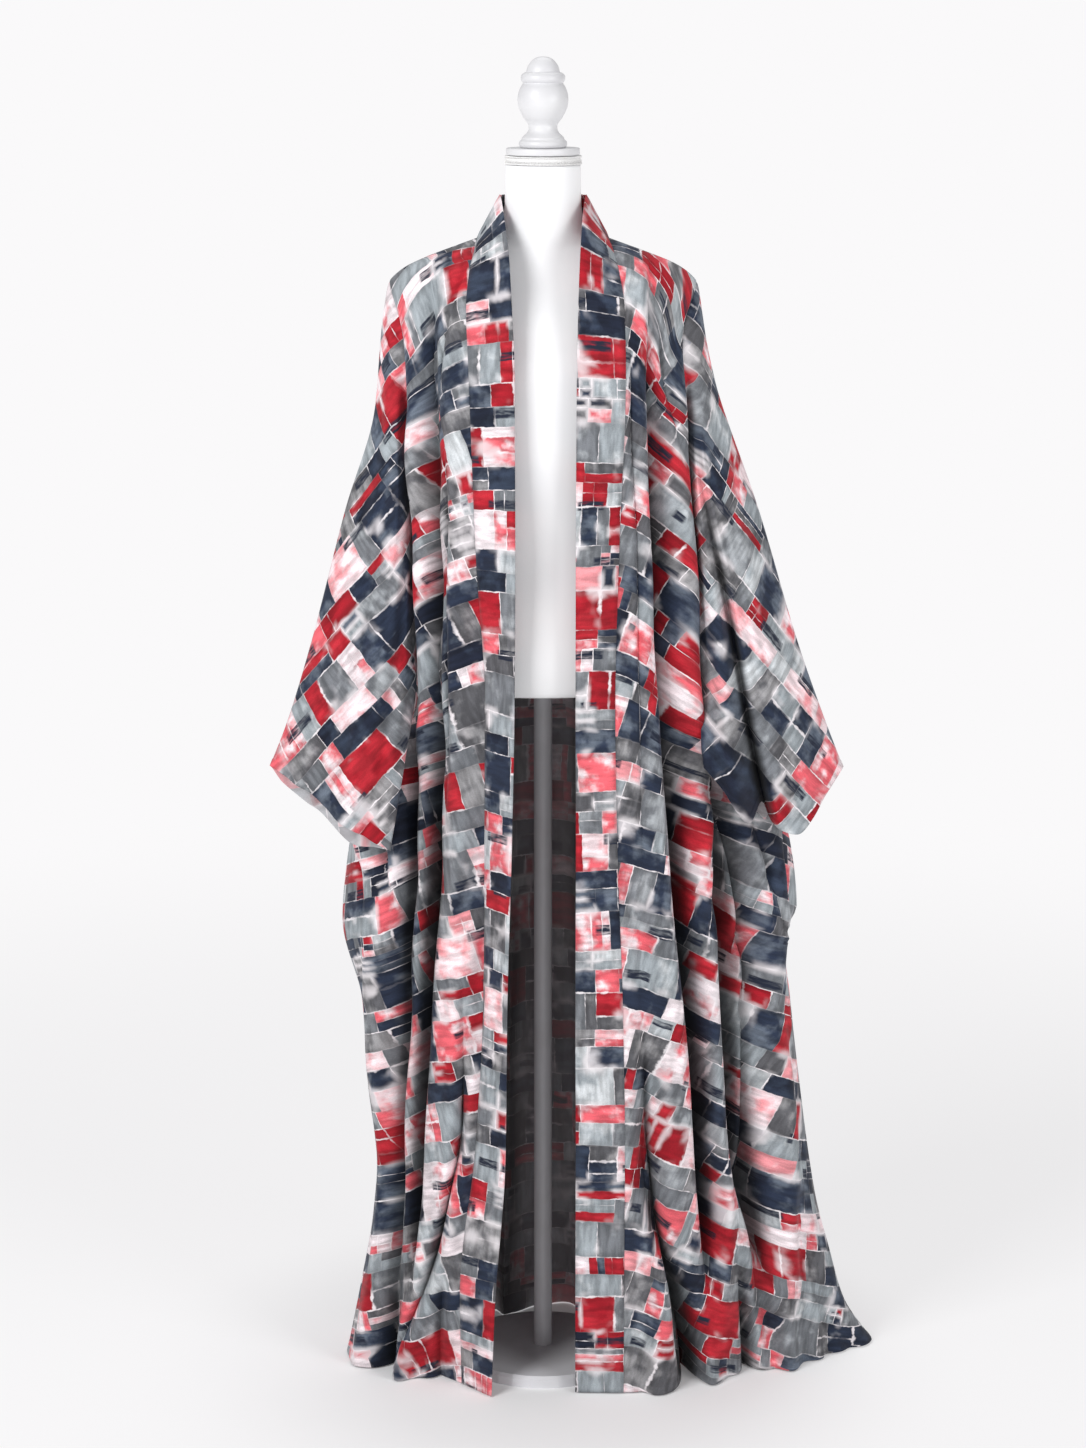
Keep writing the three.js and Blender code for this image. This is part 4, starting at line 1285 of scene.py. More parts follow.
    def steps(self, value: Socket, stops: list[tuple[float, tuple]]) -> Socket:
        """A colour for each stretch of a value, with sharp steps between.

        Args:
            value: The value, 0 to 1.
            stops: Where each stretch starts, and its colour.

        Returns:
            The colour.
        """
        ramp = self.add("ValToRGB", Fac=value)
        ramp.color_ramp.interpolation = "CONSTANT"
        elements = ramp.color_ramp.elements
        while len(elements) < len(stops):
            elements.new(0.5)
        for element, (place, colour) in zip(elements, stops):
            element.position = place
            element.color = colour
        return ramp.outputs[0]

    def bump(self, height: Socket, strength: float, distance: float) -> Socket:
        """Normals bumped by a height."""
        return self.add("Bump", Height=height, Strength=strength, Distance=distance).outputs[0]

    def finish(self, shader: bpy.types.Node) -> bpy.types.Material:
        """Joins the shader to the output.

        Args:
            shader: The shader node.

        Returns:
            The material.
        """
        self.add("OutputMaterial", Surface=shader.outputs[0])
        return self.material


def colour(red: int, green: int, blue: int) -> tuple[float, float, float, float]:
    """A linear colour from its usual screen values, 0 to 255."""
    parts = [v / 255 for v in (red, green, blue)]
    linear = [v / 12.92 if v <= 0.04045 else ((v + 0.055) / 1.055) ** 2.4 for v in parts]
    return (*linear, 1.0)


@dataclass(frozen=True)
class PatchworkPrint:
    """A generic painterly patchwork: uneven rows of brushed washes of colour, with thin pale gaps between."""

    row: float = 0.036
    block: float = 0.05
    line: float = 0.0007
    halo: float = 0.008
    halo_strength: float = 0.6
    stroke_row: float = 0.064
    stroke_block: float = 0.098
    stroke_from: float = 0.36
    slow_drift: tuple[float, float, float] = (7, 1, 0.012)
    quick_drift: tuple[float, float, float] = (60, 2, 0.0034)
    row_wave: tuple[float, float] = (2.1, 0.24)
    block_wave: tuple[float, float] = (2.3, 0.3)
    row_splits: tuple[float, float] = (0.74, 0.96)
    block_splits: tuple[float, float] = (0.68, 0.93)
    own_wash_from: float = 0.52
    pale: tuple = colour(240, 234, 237)
    ink: tuple = colour(32, 38, 54)
    washes: tuple = (
        (0.0, colour(150, 157, 162), colour(196, 200, 203)),
        (0.16, colour(112, 115, 120), colour(158, 162, 166)),
        (0.31, colour(90, 90, 94), colour(146, 145, 147)),
        (0.43, colour(38, 47, 66), colour(98, 107, 120)),
        (0.58, colour(26, 32, 48), colour(50, 60, 78)),
        (0.66, colour(156, 22, 36), colour(180, 38, 50)),
        (0.79, colour(232, 150, 156), colour(243, 222, 226)),
        (0.86, colour(240, 228, 232), colour(222, 96, 106)),
    )
    navy_from: float = 0.43

    def paint(self, graph: Graph) -> Socket:
        """Adds the print's nodes.

        Args:
            graph: The material's nodes.

        Returns:
            The print's colour.
        """
        flat = graph.add("UVMap", {"uv_map": "cut"}).outputs[0]
        place = graph.move(flat, graph.drift(flat, *self.slow_drift))
        place = graph.move(place, graph.drift(flat, *self.quick_drift))
        cell = self.cells(graph, place)
        wash = self.wash(graph, place, cell)
        wash = self.strokes(graph, place, wash)
        return self.gaps(graph, place, cell, wash)

    def cells(self, graph: Graph, place: Socket) -> dict[str, Socket]:
        """Adds the uneven rows and blocks, some of them cut in 2 or 3, and their random numbers.

        Args:
            graph: The material's nodes.
            place: Where the cloth is, in metres of the flat cut.

        Returns:
            Sockets by name: gap, the distance to the nearest edge, pick, which chooses the wash, and lean.
        """
        x, y, _ = graph.split(place)
        row_number, row_share = graph.whole(graph.wavy(graph.math("DIVIDE", y, self.row), *self.row_wave))
        row_chance, _ = graph.chance(graph.vector(row_number, 3.7, 1.3))
        column = graph.plus(graph.math("DIVIDE", x, self.block), graph.times(row_chance, 37.0))
        column = graph.wavy(column, *self.block_wave, graph.times(row_number, 1.7))
        column_number, column_share = graph.whole(column)
        first, three = graph.chance(graph.vector(column_number, row_number, 0.5))
        one, two, other = graph.split(three)
        parts, edges = [], []
        for share, chance, (two_from, three_from), size in (
            (column_share, one, self.block_splits, self.block),
            (row_share, two, self.row_splits, self.row),
        ):
            count = graph.plus(1.0, graph.above(chance, two_from))
            count = graph.plus(count, graph.above(chance, three_from))
            part, inner = graph.whole(graph.times(share, count))
            near = graph.math("MINIMUM", inner, graph.less(1.0, inner))
            parts.append(part)
            edges.append(graph.math("DIVIDE", graph.times(near, size), count))
        part_x, part_y = [
            graph.math("MULTIPLY_ADD", number, 3.0, part)
            for number, part in zip((column_number, row_number), parts)
        ]
        second, _ = graph.chance(graph.vector(part_x, part_y, 9.5))
        pick = graph.choose(graph.above(other, self.own_wash_from), first, second)
        return {"gap": graph.math("MINIMUM", *edges), "pick": pick, "lean": second}

    def wash(self, graph: Graph, place: Socket, cell: dict[str, Socket]) -> Socket:
        """Adds each block's wash of two colours, with brush marks across the navy ones and along the others.

        Args:
            graph: The material's nodes.
            place: Where the cloth is, in metres of the flat cut.
            cell: The block's sockets.

        Returns:
            The colour.
        """
        pick = cell["pick"]
        base = graph.steps(pick, [(at, wash) for at, wash, _ in self.washes])
        bleed = graph.steps(pick, [(at, wash) for at, _, wash in self.washes])
        wet = graph.noise(place, 34, 3)
        lean = graph.times(graph.less(cell["lean"], 0.5), 0.3)
        painted = graph.mix(graph.rise(graph.plus(wet, lean), 0.42, 0.66), base, bleed)
        along = graph.noise(graph.stretch(place, (1.0, 0.2, 1.0)), 120, 2)
        across = graph.noise(graph.stretch(place, (0.22, 1.0, 1.0)), 110, 2)
        brush = graph.mix(graph.above(pick, self.navy_from), along, across)
        tone = graph.rise(brush, 0.3, 0.7, 0.7, 1.2)
        painted = graph.mix(1.0, painted, tone, "MULTIPLY")
        pooled = graph.rise(cell["gap"], 0, 0.012, 0.82, 1.06)
        painted = graph.mix(1.0, painted, pooled, "MULTIPLY")
        grain = graph.rise(graph.noise(place, 620, 1), 0.3, 0.7, 0.93, 1.07)
        return graph.mix(1.0, painted, grain, "MULTIPLY")

    def strokes(self, graph: Graph, place: Socket, wash: Socket) -> Socket:
        """Adds short strokes of dark ink, laid at random over some of the blocks.

        Args:
            graph: The material's nodes.
            place: Where the cloth is, in metres of the flat cut.
            wash: The colour below them.

        Returns:
            The colour.
        """
        x, y, _ = graph.split(place)
        row_number, row_share = graph.whole(graph.plus(graph.math("DIVIDE", y, self.stroke_row), 0.37))
        shift, _ = graph.chance(graph.vector(row_number, 8.1, 2.2))
        column = graph.math("MULTIPLY_ADD", shift, 19.0, graph.math("DIVIDE", x, self.stroke_block))
        column_number, column_share = graph.whole(column)
        chance, three = graph.chance(graph.vector(column_number, row_number, 4.5))
        at, reach, height = graph.split(three)
        away_x = graph.math("ABSOLUTE", graph.less(column_share, 0.5))
        middle = graph.math("MULTIPLY_ADD", at, 0.5, 0.25)
        away_y = graph.math("ABSOLUTE", graph.less(row_share, middle))
        wide = graph.rise(graph.less(away_x, graph.times(reach, 0.28)), 0.02, 0.06, 1, 0)
        tall = graph.rise(graph.less(away_y, graph.times(height, 0.05)), 0.05, 0.075, 1, 0)
        dry = graph.rise(graph.noise(graph.stretch(place, (0.2, 1.0, 1.0)), 240, 2), 0.3, 0.6, 0.45, 1)
        seen = graph.times(graph.above(chance, self.stroke_from), graph.times(wide, tall))
        return graph.mix(graph.times(seen, dry), wash, self.ink)

    def gaps(self, graph: Graph, place: Socket, cell: dict[str, Socket], wash: Socket) -> Socket:
        """Adds the pale gaps between the blocks, uneven in width and strength.

        Args:
            graph: The material's nodes.
            place: Where the cloth is, in metres of the flat cut.
            cell: The block's sockets.
            wash: The colour between the gaps.

        Returns:
            The colour.
        """
        uneven = graph.noise(place, 120, 2)
        edge = graph.math("MULTIPLY_ADD", graph.less(uneven, 0.5), 0.0034, cell["gap"])
        line = graph.rise(edge, self.line * 0.2, self.line * 1.8, 1, 0)
        halo = graph.rise(edge, 0.001, self.halo, self.halo_strength, 0)
        fade = graph.rise(graph.noise(place, 26, 1), 0.4, 0.62, 0.06, 0.85)
        drift = graph.rise(graph.noise(place, 17, 2), 0.52, 0.64)
        washed = graph.mix(graph.times(halo, drift), wash, self.pale)
        return graph.mix(graph.times(line, fade), washed, self.pale)


@dataclass(frozen=True)
class CrepeFinish:
    """Soft printed crepe: a matt cloth with a slight sheen and a pebbled grain, its colour darkened by painted
    shade deep in its folds.
    """

    name: str
    wrong_side: bool = False
    # Painted shade in the folds: the depths in metres over which it deepens, and the share of the colour left
    # at the deepest.
    shaded_from: tuple[float, float] = (0.003, 0.036)
    shade: float = 0.3
    roughness: float = 0.75
    sheen: float = 0.1

    def make(self) -> bpy.types.Material:
        """The material, with the print seen paler through its wrong side."""
        graph = Graph(self.name)
        painted = PatchworkPrint().paint(graph)
        if self.wrong_side:
            painted = graph.mix(0.45, painted, colour(212, 208, 211))
        # Painted shade: the colour is multiplied down towards shade where the fold map says the cloth lies deep
        # in a valley.
        sunk, _, _ = graph.split(graph.add("UVMap", {"uv_map": "fold"}).outputs[0])
        painted = graph.mix(1.0, painted, graph.rise(sunk, *self.shaded_from, 1, self.shade), "MULTIPLY")
        flat = graph.add("UVMap", {"uv_map": "cut"}).outputs[0]
        pebble = graph.noise(flat, 900, 2)
        crinkle = graph.noise(graph.stretch(flat, (1.0, 0.35, 1.0)), 70, 3)
        height = graph.plus(graph.times(pebble, 0.3), crinkle)
        shader = graph.add(
            "BsdfPrincipled",
            Base_Color=painted,
            Roughness=self.roughness,
            Normal=graph.bump(height, 0.35, 0.0012),
        )
        shader.inputs["Sheen Weight"].default_value = self.sheen
        shader.inputs["Sheen Roughness"].default_value = 0.45
        shader.inputs["Specular IOR Level"].default_value = 0.18
        return graph.finish(shader)


@dataclass(frozen=True)
class JerseyFinish:
    """The form's white cotton jersey, with its fine knit."""

    name: str = "form_jersey"

    def make(self) -> bpy.types.Material:
        """The material, on object coordinates."""
        graph = Graph(self.name)
        place = graph.add("TexCoord").outputs["Object"]
        blotch = graph.noise(place, 6, 3)
        shade = graph.mix(graph.rise(blotch, 0.3, 0.7), colour(237, 238, 240), colour(243, 243, 244))
        knit = graph.noise(graph.stretch(place, (1.0, 1.0, 2.2)), 700, 2)
        shader = graph.add(
            "BsdfPrincipled", Base_Color=shade, Roughness=0.82, Normal=graph.bump(knit, 0.3, 0.0006)
        )
        shader.inputs["Sheen Weight"].default_value = 0.12
        shader.inputs["Specular IOR Level"].default_value = 0.25
        return graph.finish(shader)


@dataclass(frozen=True)
class BraidFinish:
    """White cotton braid, with the twist of its thread."""

    name: str = "trim_braid"

    def make(self) -> bpy.types.Material:
        """The material, on object coordinates."""
        graph = Graph(self.name)
        place = graph.add("TexCoord").outputs["Object"]
        thread = graph.noise(place, 1400, 2)
        shade = graph.mix(graph.rise(thread, 0.3, 0.7), colour(216, 215, 214), colour(246, 246, 246))
        shader = graph.add(
            "BsdfPrincipled", Base_Color=shade, Roughness=0.85, Normal=graph.bump(thread, 0.5, 0.0005)
        )
        shader.inputs["Sheen Weight"].default_value = 0.2
        return graph.finish(shader)


@dataclass(frozen=True)
class LacquerFinish:
    """Satin white lacquer or powder coat over a smooth ground."""

    name: str
    roughness: float
    coat: float
    shade: tuple = colour(216, 216, 218)

    def make(self) -> bpy.types.Material:
        """The material, on object coordinates."""
        graph = Graph(self.name)
        place = graph.add("TexCoord").outputs["Object"]
        cloudy = graph.noise(place, 18, 3)
        tint = graph.mix(graph.rise(cloudy, 0.35, 0.7), self.shade, colour(208, 208, 211))
        rough = graph.rise(graph.noise(place, 60, 3), 0.3, 0.7, self.roughness - 0.04, self.roughness + 0.06)
        peel = graph.noise(place, 500, 1)
        shader = graph.add(
            "BsdfPrincipled", Base_Color=tint, Roughness=rough, Normal=graph.bump(peel, 0.06, 0.0004)
        )
        shader.inputs["Coat Weight"].default_value = self.coat
        shader.inputs["Coat Roughness"].default_value = 0.12
        return graph.finish(shader)


class Wardrobe:
    """The finishes, made once each."""

    def __init__(self) -> None:
        """Makes the materials."""
        self.crepe = CrepeFinish("robe_crepe").make()
        self.crepe_wrong = CrepeFinish("robe_crepe_wrong_side", wrong_side=True).make()
        self.jersey = JerseyFinish().make()
        self.braid = BraidFinish().make()
        self.lacquer = LacquerFinish("finial_lacquer", 0.42, 0.08).make()
        self.powder_coat = LacquerFinish("stand_powder_coat", 0.4, 0.1, colour(214, 214, 218)).make()


def report(piece: bpy.types.Object, note: str) -> None:
    """Logs a piece's name, its faces and a note."""
    log.info("%s: %d faces, %s", piece.name, len(piece.data.polygons), note)


@dataclass
class Robe:
    """The robe: two fronts, a back, two sleeves and the band, each a thin shell of crepe."""

    wardrobe: Wardrobe
    cut: RobeCut = field(default_factory=RobeCut)
    plain: RobeCut = field(default_factory=lambda: RobeCut(fold_share=0))
    cloth: Cloth = field(default_factory=Cloth)
    right_columns: int = 150
    left_columns: int = 220
    back_columns: int = 220
    back_passes: int = 60
    back_edge: int = 26
    back_top: int = 40
    levels: int = 190
    measured: tuple[float, ...] = (0.02, 0.1, 0.2, 0.3, 0.4, 0.5, 0.6, 0.75)
    sleeve_around: int = 180
    sleeve_along: int = 130
    band_across: int = 8
    band_along: int = 560
    under_band: float = 0.04

    def build(self) -> list[bpy.types.Object]:
        """Builds and dresses every piece of the robe."""
        pieces = [self.front(side) for side in Side]
        pieces += [self.back()]
        pieces += [self.sleeve(side) for side in Side]
        pieces += [self.band()]
        return pieces

    def sheet(
        self, node: str, surface: Callable[[RobeCut, Array, Array], Array], a: Array, b: Array, outward: int,
        lift: float, relief: Callable[[Array, Array], Array], first: int, tube: bool = False,
    ) -> bpy.types.Object:
        """Builds one cloth piece on a surface.

        Args:
            node: The CAD node that the piece stands for.
            surface: The surface of a cut, in millimetres.
            a: Its columns.
            b: Its rows.
            outward: 1 where the surface's own normal points out of the robe, -1 where it points in.
            lift: How far outside the surface the cloth's face lies.
            relief: Extra height of the face, from the distances across and along.
            first: The column where the distance across is 0.
            tube: Whether the piece is a sleeve: its first and last columns meet, and its print hangs plumb.

        Returns:
            The piece.
        """
        grid_a, grid_b = np.meshgrid(a, b)
        limits = (b[0] - 1, 2.0 if tube else 1.0)
        points, plain = surface(self.cut, grid_a, grid_b), surface(self.plain, grid_a, grid_b)
        if node == "back_panel":
            points = eased(points, self.back_passes, self.back_edge, self.back_top)
        if tube or node == "neckband":
            normal = normals_of(partial(surface, self.cut), grid_a, grid_b, *limits) * outward
        else:
            points = clear_of_form(points)
            normal = np.cross(np.gradient(points, axis=1), np.gradient(points, axis=0)) * outward
            normal /= np.maximum(np.linalg.norm(normal, axis=-1, keepdims=True), 1e-9)
        plain_normal = normals_of(partial(surface, self.plain), grid_a, grid_b, *limits) * outward
        # How deep the cloth lies below its unfolded surface. It is kept in the fold map, which the crepe uses
        # to paint shade into the valleys.
        sunk = ((plain - points) * plain_normal).sum(axis=-1) * MM
        across, along = lengths(points, 1, first), lengths(points, 0, 0)
        points = points + normal * (lift + relief(across, along))[..., None]
        maps = {
            "cut": self.cut_map(node, plain, first, tube),
            "fold": np.stack([sunk, np.zeros_like(sunk)], axis=-1),
        }
        piece = grid_object(f"{node}_crepe", points * MM, maps, outward < 0, tube)
        area = np.linalg.norm(
            np.cross(np.diff(points, axis=1)[:-1], np.diff(points, axis=0)[:, :-1]), axis=-1
        ).sum()
        report(piece, f"{area * MM * MM:.3f} m2 of cloth")
        return piece

    def cut_map(self, node: str, plain: Array, first: int, tube: bool) -> Array:
        """Places on a piece's flat cut in metres, turned and moved as its print lies.

        Args:
            node: The piece's CAD node.
            plain: The points of the piece without its folds.
            first: The column where the distance across is 0.
            tube: Whether the piece is a sleeve.

        Returns:
            The places, rows by columns by 2.
        """
        pattern = PATTERNS[node]
        if tube:
            x, y = sleeve_cut(plain, first)
        else:
            x, y = lengths(plain, 1, first) + self.gathered(node, plain), lengths(plain, 0, 0)
        if node == "neckband":
            y = np.broadcast_to(y.mean(axis=1, keepdims=True), y.shape)
        x, y = x * MM, y * MM
        tilt, (start_x, start_y) = math.radians(pattern.tilt), pattern.start
        cos, sin = math.cos(tilt), math.sin(tilt)
        return np.stack([x * cos - y * sin + start_x, x * sin + y * cos + start_y], axis=-1)

    def gathered(self, node: str, plain: Array) -> Array:
        """How much cloth the folds of a body panel take in before each point.

        Args:
            node: The panel's CAD node.
            plain: Its points without the folds.

        Returns:
            The lengths of cloth, negative on the wearer's right of the back.
        """
        x, z = np.abs(plain[..., 0]), plain[..., 2]
        if node == "back_panel":
            right, left = [side.value * self.cut.taken_in(side, "back", x, z) for side in Side]
            return np.where(plain[..., 0] < 0, right, left)
        for side in Side:
            if node == f"front_{side.word}":
                return self.cut.taken_in(side, "front", x, z)
        return np.zeros_like(x)

    def hang(
        self, piece: bpy.types.Object, node: str, thickness: float, wrong_side: bool = True
    ) -> bpy.types.Object:
        """Gives a cloth piece its crepe, its thickness and its place in the part.

        Args:
            piece: The piece.
            node: The CAD node that it stands for.
            thickness: Its thickness in millimetres.
            wrong_side: Whether its back shows the print's wrong side.

        Returns:
            The piece.
        """
        piece.data.materials.append(self.wardrobe.crepe)
        piece.data.materials.append(self.wardrobe.crepe_wrong)
        thicken(piece, thickness * MM, wrong_side)
        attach(piece, ROOT)
        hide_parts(node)
        return piece

    def seam_relief(self, across: Array, along: Array, ends: tuple[bool, bool]) -> Array:
        """A turned hem along the bottom and a pressed groove at the seams of a panel's sides.

        Args:
            across: Distances across.
            along: Distances up from the hem.
            ends: Whether the first and the last column lie in a seam.

        Returns:
            The height of the cloth's face.
        """
        cloth = self.cloth
        height = cloth.hem(along)
        height -= cloth.stitch_depth * bell((along - cloth.hem_depth - 1) / cloth.stitch_width)
        for seam, inward in zip(ends, (across - across[:, :1], across[:, -1:] - across)):
            if seam:
                height -= cloth.seam_depth * bell(inward / cloth.seam_width)
        return height

    def front(self, side: Side) -> bpy.types.Object:
        """One front panel, with a strip tucked under the band.

        Args:
            side: The wearer's side.

        Returns:
            The piece.
        """
        node = f"front_{side.word}"
        columns = self.right_columns if side is Side.RIGHT else self.left_columns
        even = even_shares(lambda a, b: self.cut.front(side, a, b), columns, self.measured)
        across = np.concatenate([[-self.under_band, -self.under_band / 2], even])
        piece = self.sheet(
            node, lambda cut, a, b: cut.front(side, a, b), across, self.body_levels(), side.value,
            self.cloth.lift, lambda x, y: self.seam_relief(x, y, (False, True)), first=2,
        )
        return self.hang(piece, node, self.cloth.thickness)

    def body_levels(self) -> Array:
        """Levels of the body's rows, closer together at the hem and the top."""
        return graded(self.levels, 9, 3, 0.009)

    def back(self) -> bpy.types.Object:
        """The back panel."""
        even = even_shares(self.cut.back, self.back_columns, self.measured)
        across = np.union1d(even, self.cut.neckline_shares())
        piece = self.sheet(
            "back_panel", RobeCut.back, across, self.body_levels(), -1, self.cloth.lift,
            lambda x, y: self.seam_relief(x, y, (True, True)), first=int(np.argmin(np.abs(across - 0.5))),
        )
        return self.hang(piece, "back_panel", self.cloth.thickness)

    def sleeve(self, side: Side) -> bpy.types.Object:
        """One sleeve, a tube from the armhole to the cuff, sewn along the underarm.

        Args:
            side: The wearer's side.

        Returns:
            The piece.
        """
        node, cloth = f"sleeve_{side.word}", self.cloth
        around = np.linspace(-0.5, 0.5, self.sleeve_around + 1)
        share = 1 - graded(self.sleeve_along, 8, 3, 0.02)[::-1]
        share[0] = 0.001

        def relief(across: Array, along: Array) -> Array:
            """The cuff's turned hem, and the groove at the armhole's seam."""
            return cloth.hem(along[-1:] - along) - cloth.seam_depth * bell(along / cloth.armhole_seam_width)

        piece = self.sheet(
            node, lambda cut, a, b: cut.sleeve(side, a, b), around, share, side.value, cloth.sleeve_lift,
            relief, first=self.sleeve_around // 2, tube=True,
        )
        return self.hang(piece, node, cloth.thickness)

    def band(self) -> bpy.types.Object:
        """The doubled band, up one front, round the neck and down the other."""
        across = np.linspace(0, 1, self.band_across + 1)
        along = np.linspace(0, 1, self.band_along + 1)
        (seam_deep, seam_wide), (fold_deep, fold_wide) = self.cloth.band_seam, self.cloth.band_fold

        def relief(x: Array, y: Array) -> Array:
            """The groove at the sewn edge, and the pressed fold at the free one."""
            return -seam_deep * bell(x / seam_wide) - fold_deep * bell((x[:, -1:] - x) / fold_wide)

        piece = self.sheet("neckband", RobeCut.band, across, along, 1, self.cloth.band_lift, relief, first=0)
        return self.hang(piece, "neckband", self.cloth.band_thickness, wrong_side=False)


# The finial's half outline: radii and heights from its foot, over waist, bulb and ring, to the dome.
FINIAL_PROFILE = (
    (0.01, 0), (28, 0), (30.4, 1.6), (31.4, 4.6), (30.6, 8), (28.4, 10), (27.6, 11.4), (27.4, 12.6),
    (24.5, 15.6), (20.6, 19.4), (18.7, 24), (18.7, 28), (21.2, 33), (25, 38), (29.4, 46), (32.2, 54),
    (33, 62), (32, 69), (29.6, 76), (26.4, 81.4), (26, 82.6), (27.6, 84.4), (28.8, 87.4), (28.6, 90.6),
    (27, 93.6), (24, 95.6), (22, 96.2), (21.6, 97.2), (21, 100), (19.6, 104), (17, 108), (13.6, 111.6),
    (9, 114.4), (4.6, 115.7), (0.01, 116),
)


@dataclass
class DressForm:
    """The limbless form: its jersey torso, braid, lacquered plate and finial, and its stand."""

    wardrobe: Wardrobe
    around: int = 120
    neck_top: float = 1651
    seam_gap: float = 0.3
    trim_height: float = 12
    trim_radius: float = 49.5
    plate_height: float = 9
    plate_radius: float = 48
    neck_seam_z: float = 1566
    edge_round: float = 6
    shoulder_z: float = 1500
    tape_height: float = 10.2
    tape_middle: float = 6.1
    tape_inset: float = 0.6
    cord_heights: tuple[float, float] = (1.6, 10.4)
    loop_height: float = 3.2
    loops: int = 64

    def build(self) -> list[bpy.types.Object]:
        """Builds and dresses every piece of the form and its stand."""
        self.dress_stand()
        return [self.torso(), self.trim(), self.plate(), self.finial()]

    def torso(self) -> bpy.types.Object:
        """The jersey-covered torso, with its lower edge turned under and a fine seam at the neck's foot."""
        low = TORSO.columns["z"][0]
        stops = (low, low + self.edge_round, self.shoulder_z, self.neck_top)
        heights = np.unique(np.concatenate([
            np.linspace(start, end, rows) for start, end, rows in zip(stops, stops[1:], (4, 60, 50))
        ]))
        angle = np.linspace(0, 2 * math.pi, self.around + 1)
        turn, z = np.meshgrid(angle, heights)
        power = TORSO.at("power", z)
        deep = np.where(np.sin(turn) < 0, TORSO.at("front", z), TORSO.at("back", z))
        edge = 1 - 0.02 * (1 - smooth((z - low) / self.edge_round))
        dent = 1 - 0.012 * bell((z - self.neck_seam_z) / 1.6)
        x = TORSO.at("side", z) * rounded(np.cos(turn), power) * edge * dent
        y = deep * rounded(np.sin(turn), power) * edge * dent
        points = np.stack([x, y, z], axis=-1) * MM
        piece = grid_object("torso_cover", points, {}, False, True, True)
        return self.dress(piece, self.wardrobe.jersey, "form_torso")

    def trim(self) -> bpy.types.Object:
        """The braid at the neck's top: a tape, a twisted cord along both edges and a row of small loops."""
        radius = self.trim_radius * MM
        low = (self.neck_top + self.seam_gap) * MM
        bm = bmesh.new()
        inner = radius - self.tape_inset * MM
        tape = bmesh.ops.create_cone(
            bm, segments=96, radius1=inner, radius2=inner, depth=self.tape_height * MM, cap_ends=True
        )
        bmesh.ops.translate(bm, verts=tape["verts"], vec=(0, 0, low + self.tape_middle * MM))
        for height in self.cord_heights:
            for phase in (0, math.pi):
                self.cord(bm, radius, low + height * MM, phase)
        for i in range(self.loops):
            self.loop(bm, radius, low + self.loop_height * MM, 2 * math.pi * i / self.loops)
        for face in bm.faces:
            face.smooth = True
        return self.dress(placed(bm, "neck_braid"), self.wardrobe.braid, "neck_trim")

    def cord(self, bm: bmesh.types.BMesh, radius: float, height: float, phase: float) -> None:
        """Adds one strand that winds about a ring, a full turn for each loop.

        Args:
            bm: The braid's shape.
            radius: The ring's radius.
            height: The ring's height.
            phase: Where the strand starts its winding.
        """
        steps, sides, thick, wind = 384, 6, 0.0007, 0.0007
        made = bmesh.ops.create_grid(bm, x_segments=steps, y_segments=sides, size=1)
        for vert in made["verts"]:
            along = (vert.co.x + 1) * math.pi
            about = (vert.co.y + 1) * math.pi
            twist = along * self.loops + phase
            out = wind * math.cos(twist) + thick * math.cos(about)
            up = wind * math.sin(twist) + thick * math.sin(about)
            reach = radius + out
            vert.co = (reach * math.cos(along), reach * math.sin(along), height + up)
        bmesh.ops.remove_doubles(bm, verts=made["verts"], dist=1e-6)

    def loop(self, bm: bmesh.types.BMesh, radius: float, height: float, angle: float) -> None:
        """Adds one small loop of thread that hangs from the lower cord.

        Args:
            bm: The braid's shape.
            radius: The neck's radius there.
            height: The loop's height.
            angle: Where it lies round the neck.
        """
        made = bmesh.ops.create_grid(bm, x_segments=10, y_segments=5, size=1)
        for vert in made["verts"]:
            along = (vert.co.x + 1) * math.pi
            about = (vert.co.y + 1) * math.pi
            size = 0.0019 + 0.0004 * math.cos(about)
            side, down = size * math.sin(along), size * 1.2 * math.cos(along)
            out = radius + 0.0004 + 0.0004 * math.sin(about)
            turn = angle + side / radius
            vert.co = (out * math.cos(turn), out * math.sin(turn), height + down)
        bmesh.ops.remove_doubles(bm, verts=made["verts"], dist=1e-6)

    def turned(self, name: str, profile: Array, segments: int) -> bpy.types.Object:
        """A solid turned about the vertical axis.

        Args:
            name: The piece's name.
            profile: Radii and heights in metres, from the foot to the top.
            segments: Steps round the axis.

        Returns:
            The object, in the scene.
        """
        bm = bmesh.new()
        verts = [bm.verts.new((radius, 0, height)) for radius, height in profile]
        edges = [bm.edges.new(pair) for pair in zip(verts[:-1], verts[1:])]
        bmesh.ops.spin(
            bm, geom=verts + edges, axis=(0, 0, 1), cent=(0, 0, 0), angle=2 * math.pi, steps=segments,
            use_merge=True,
        )
        bmesh.ops.remove_doubles(bm, verts=bm.verts, dist=2e-5)
        close_ends(bm)
        for face in bm.faces:
            face.smooth = True
        return placed(bm, name)

    def plate(self) -> bpy.types.Object:
        """The lacquered plate on the neck, with rounded edges."""
        low = (self.neck_top + self.trim_height + 2 * self.seam_gap) * MM
        radius, height, edge = self.plate_radius * MM, self.plate_height * MM, 0.0016
        corner = [(math.sin(t), 1 - math.cos(t)) for t in np.linspace(0, math.pi / 2, 5)]
        foot = [(radius - edge + edge * s, low + edge * c) for s, c in corner]
        head = [(radius - edge + edge * s, low + height - edge * c) for s, c in reversed(corner)]
        profile = [(0.00001, low), *foot, *head, (0.00001, low + height)]
        piece = self.turned("neck_plate_lacquered", profile, 96)
        return self.dress(piece, self.wardrobe.lacquer, "neck_plate")

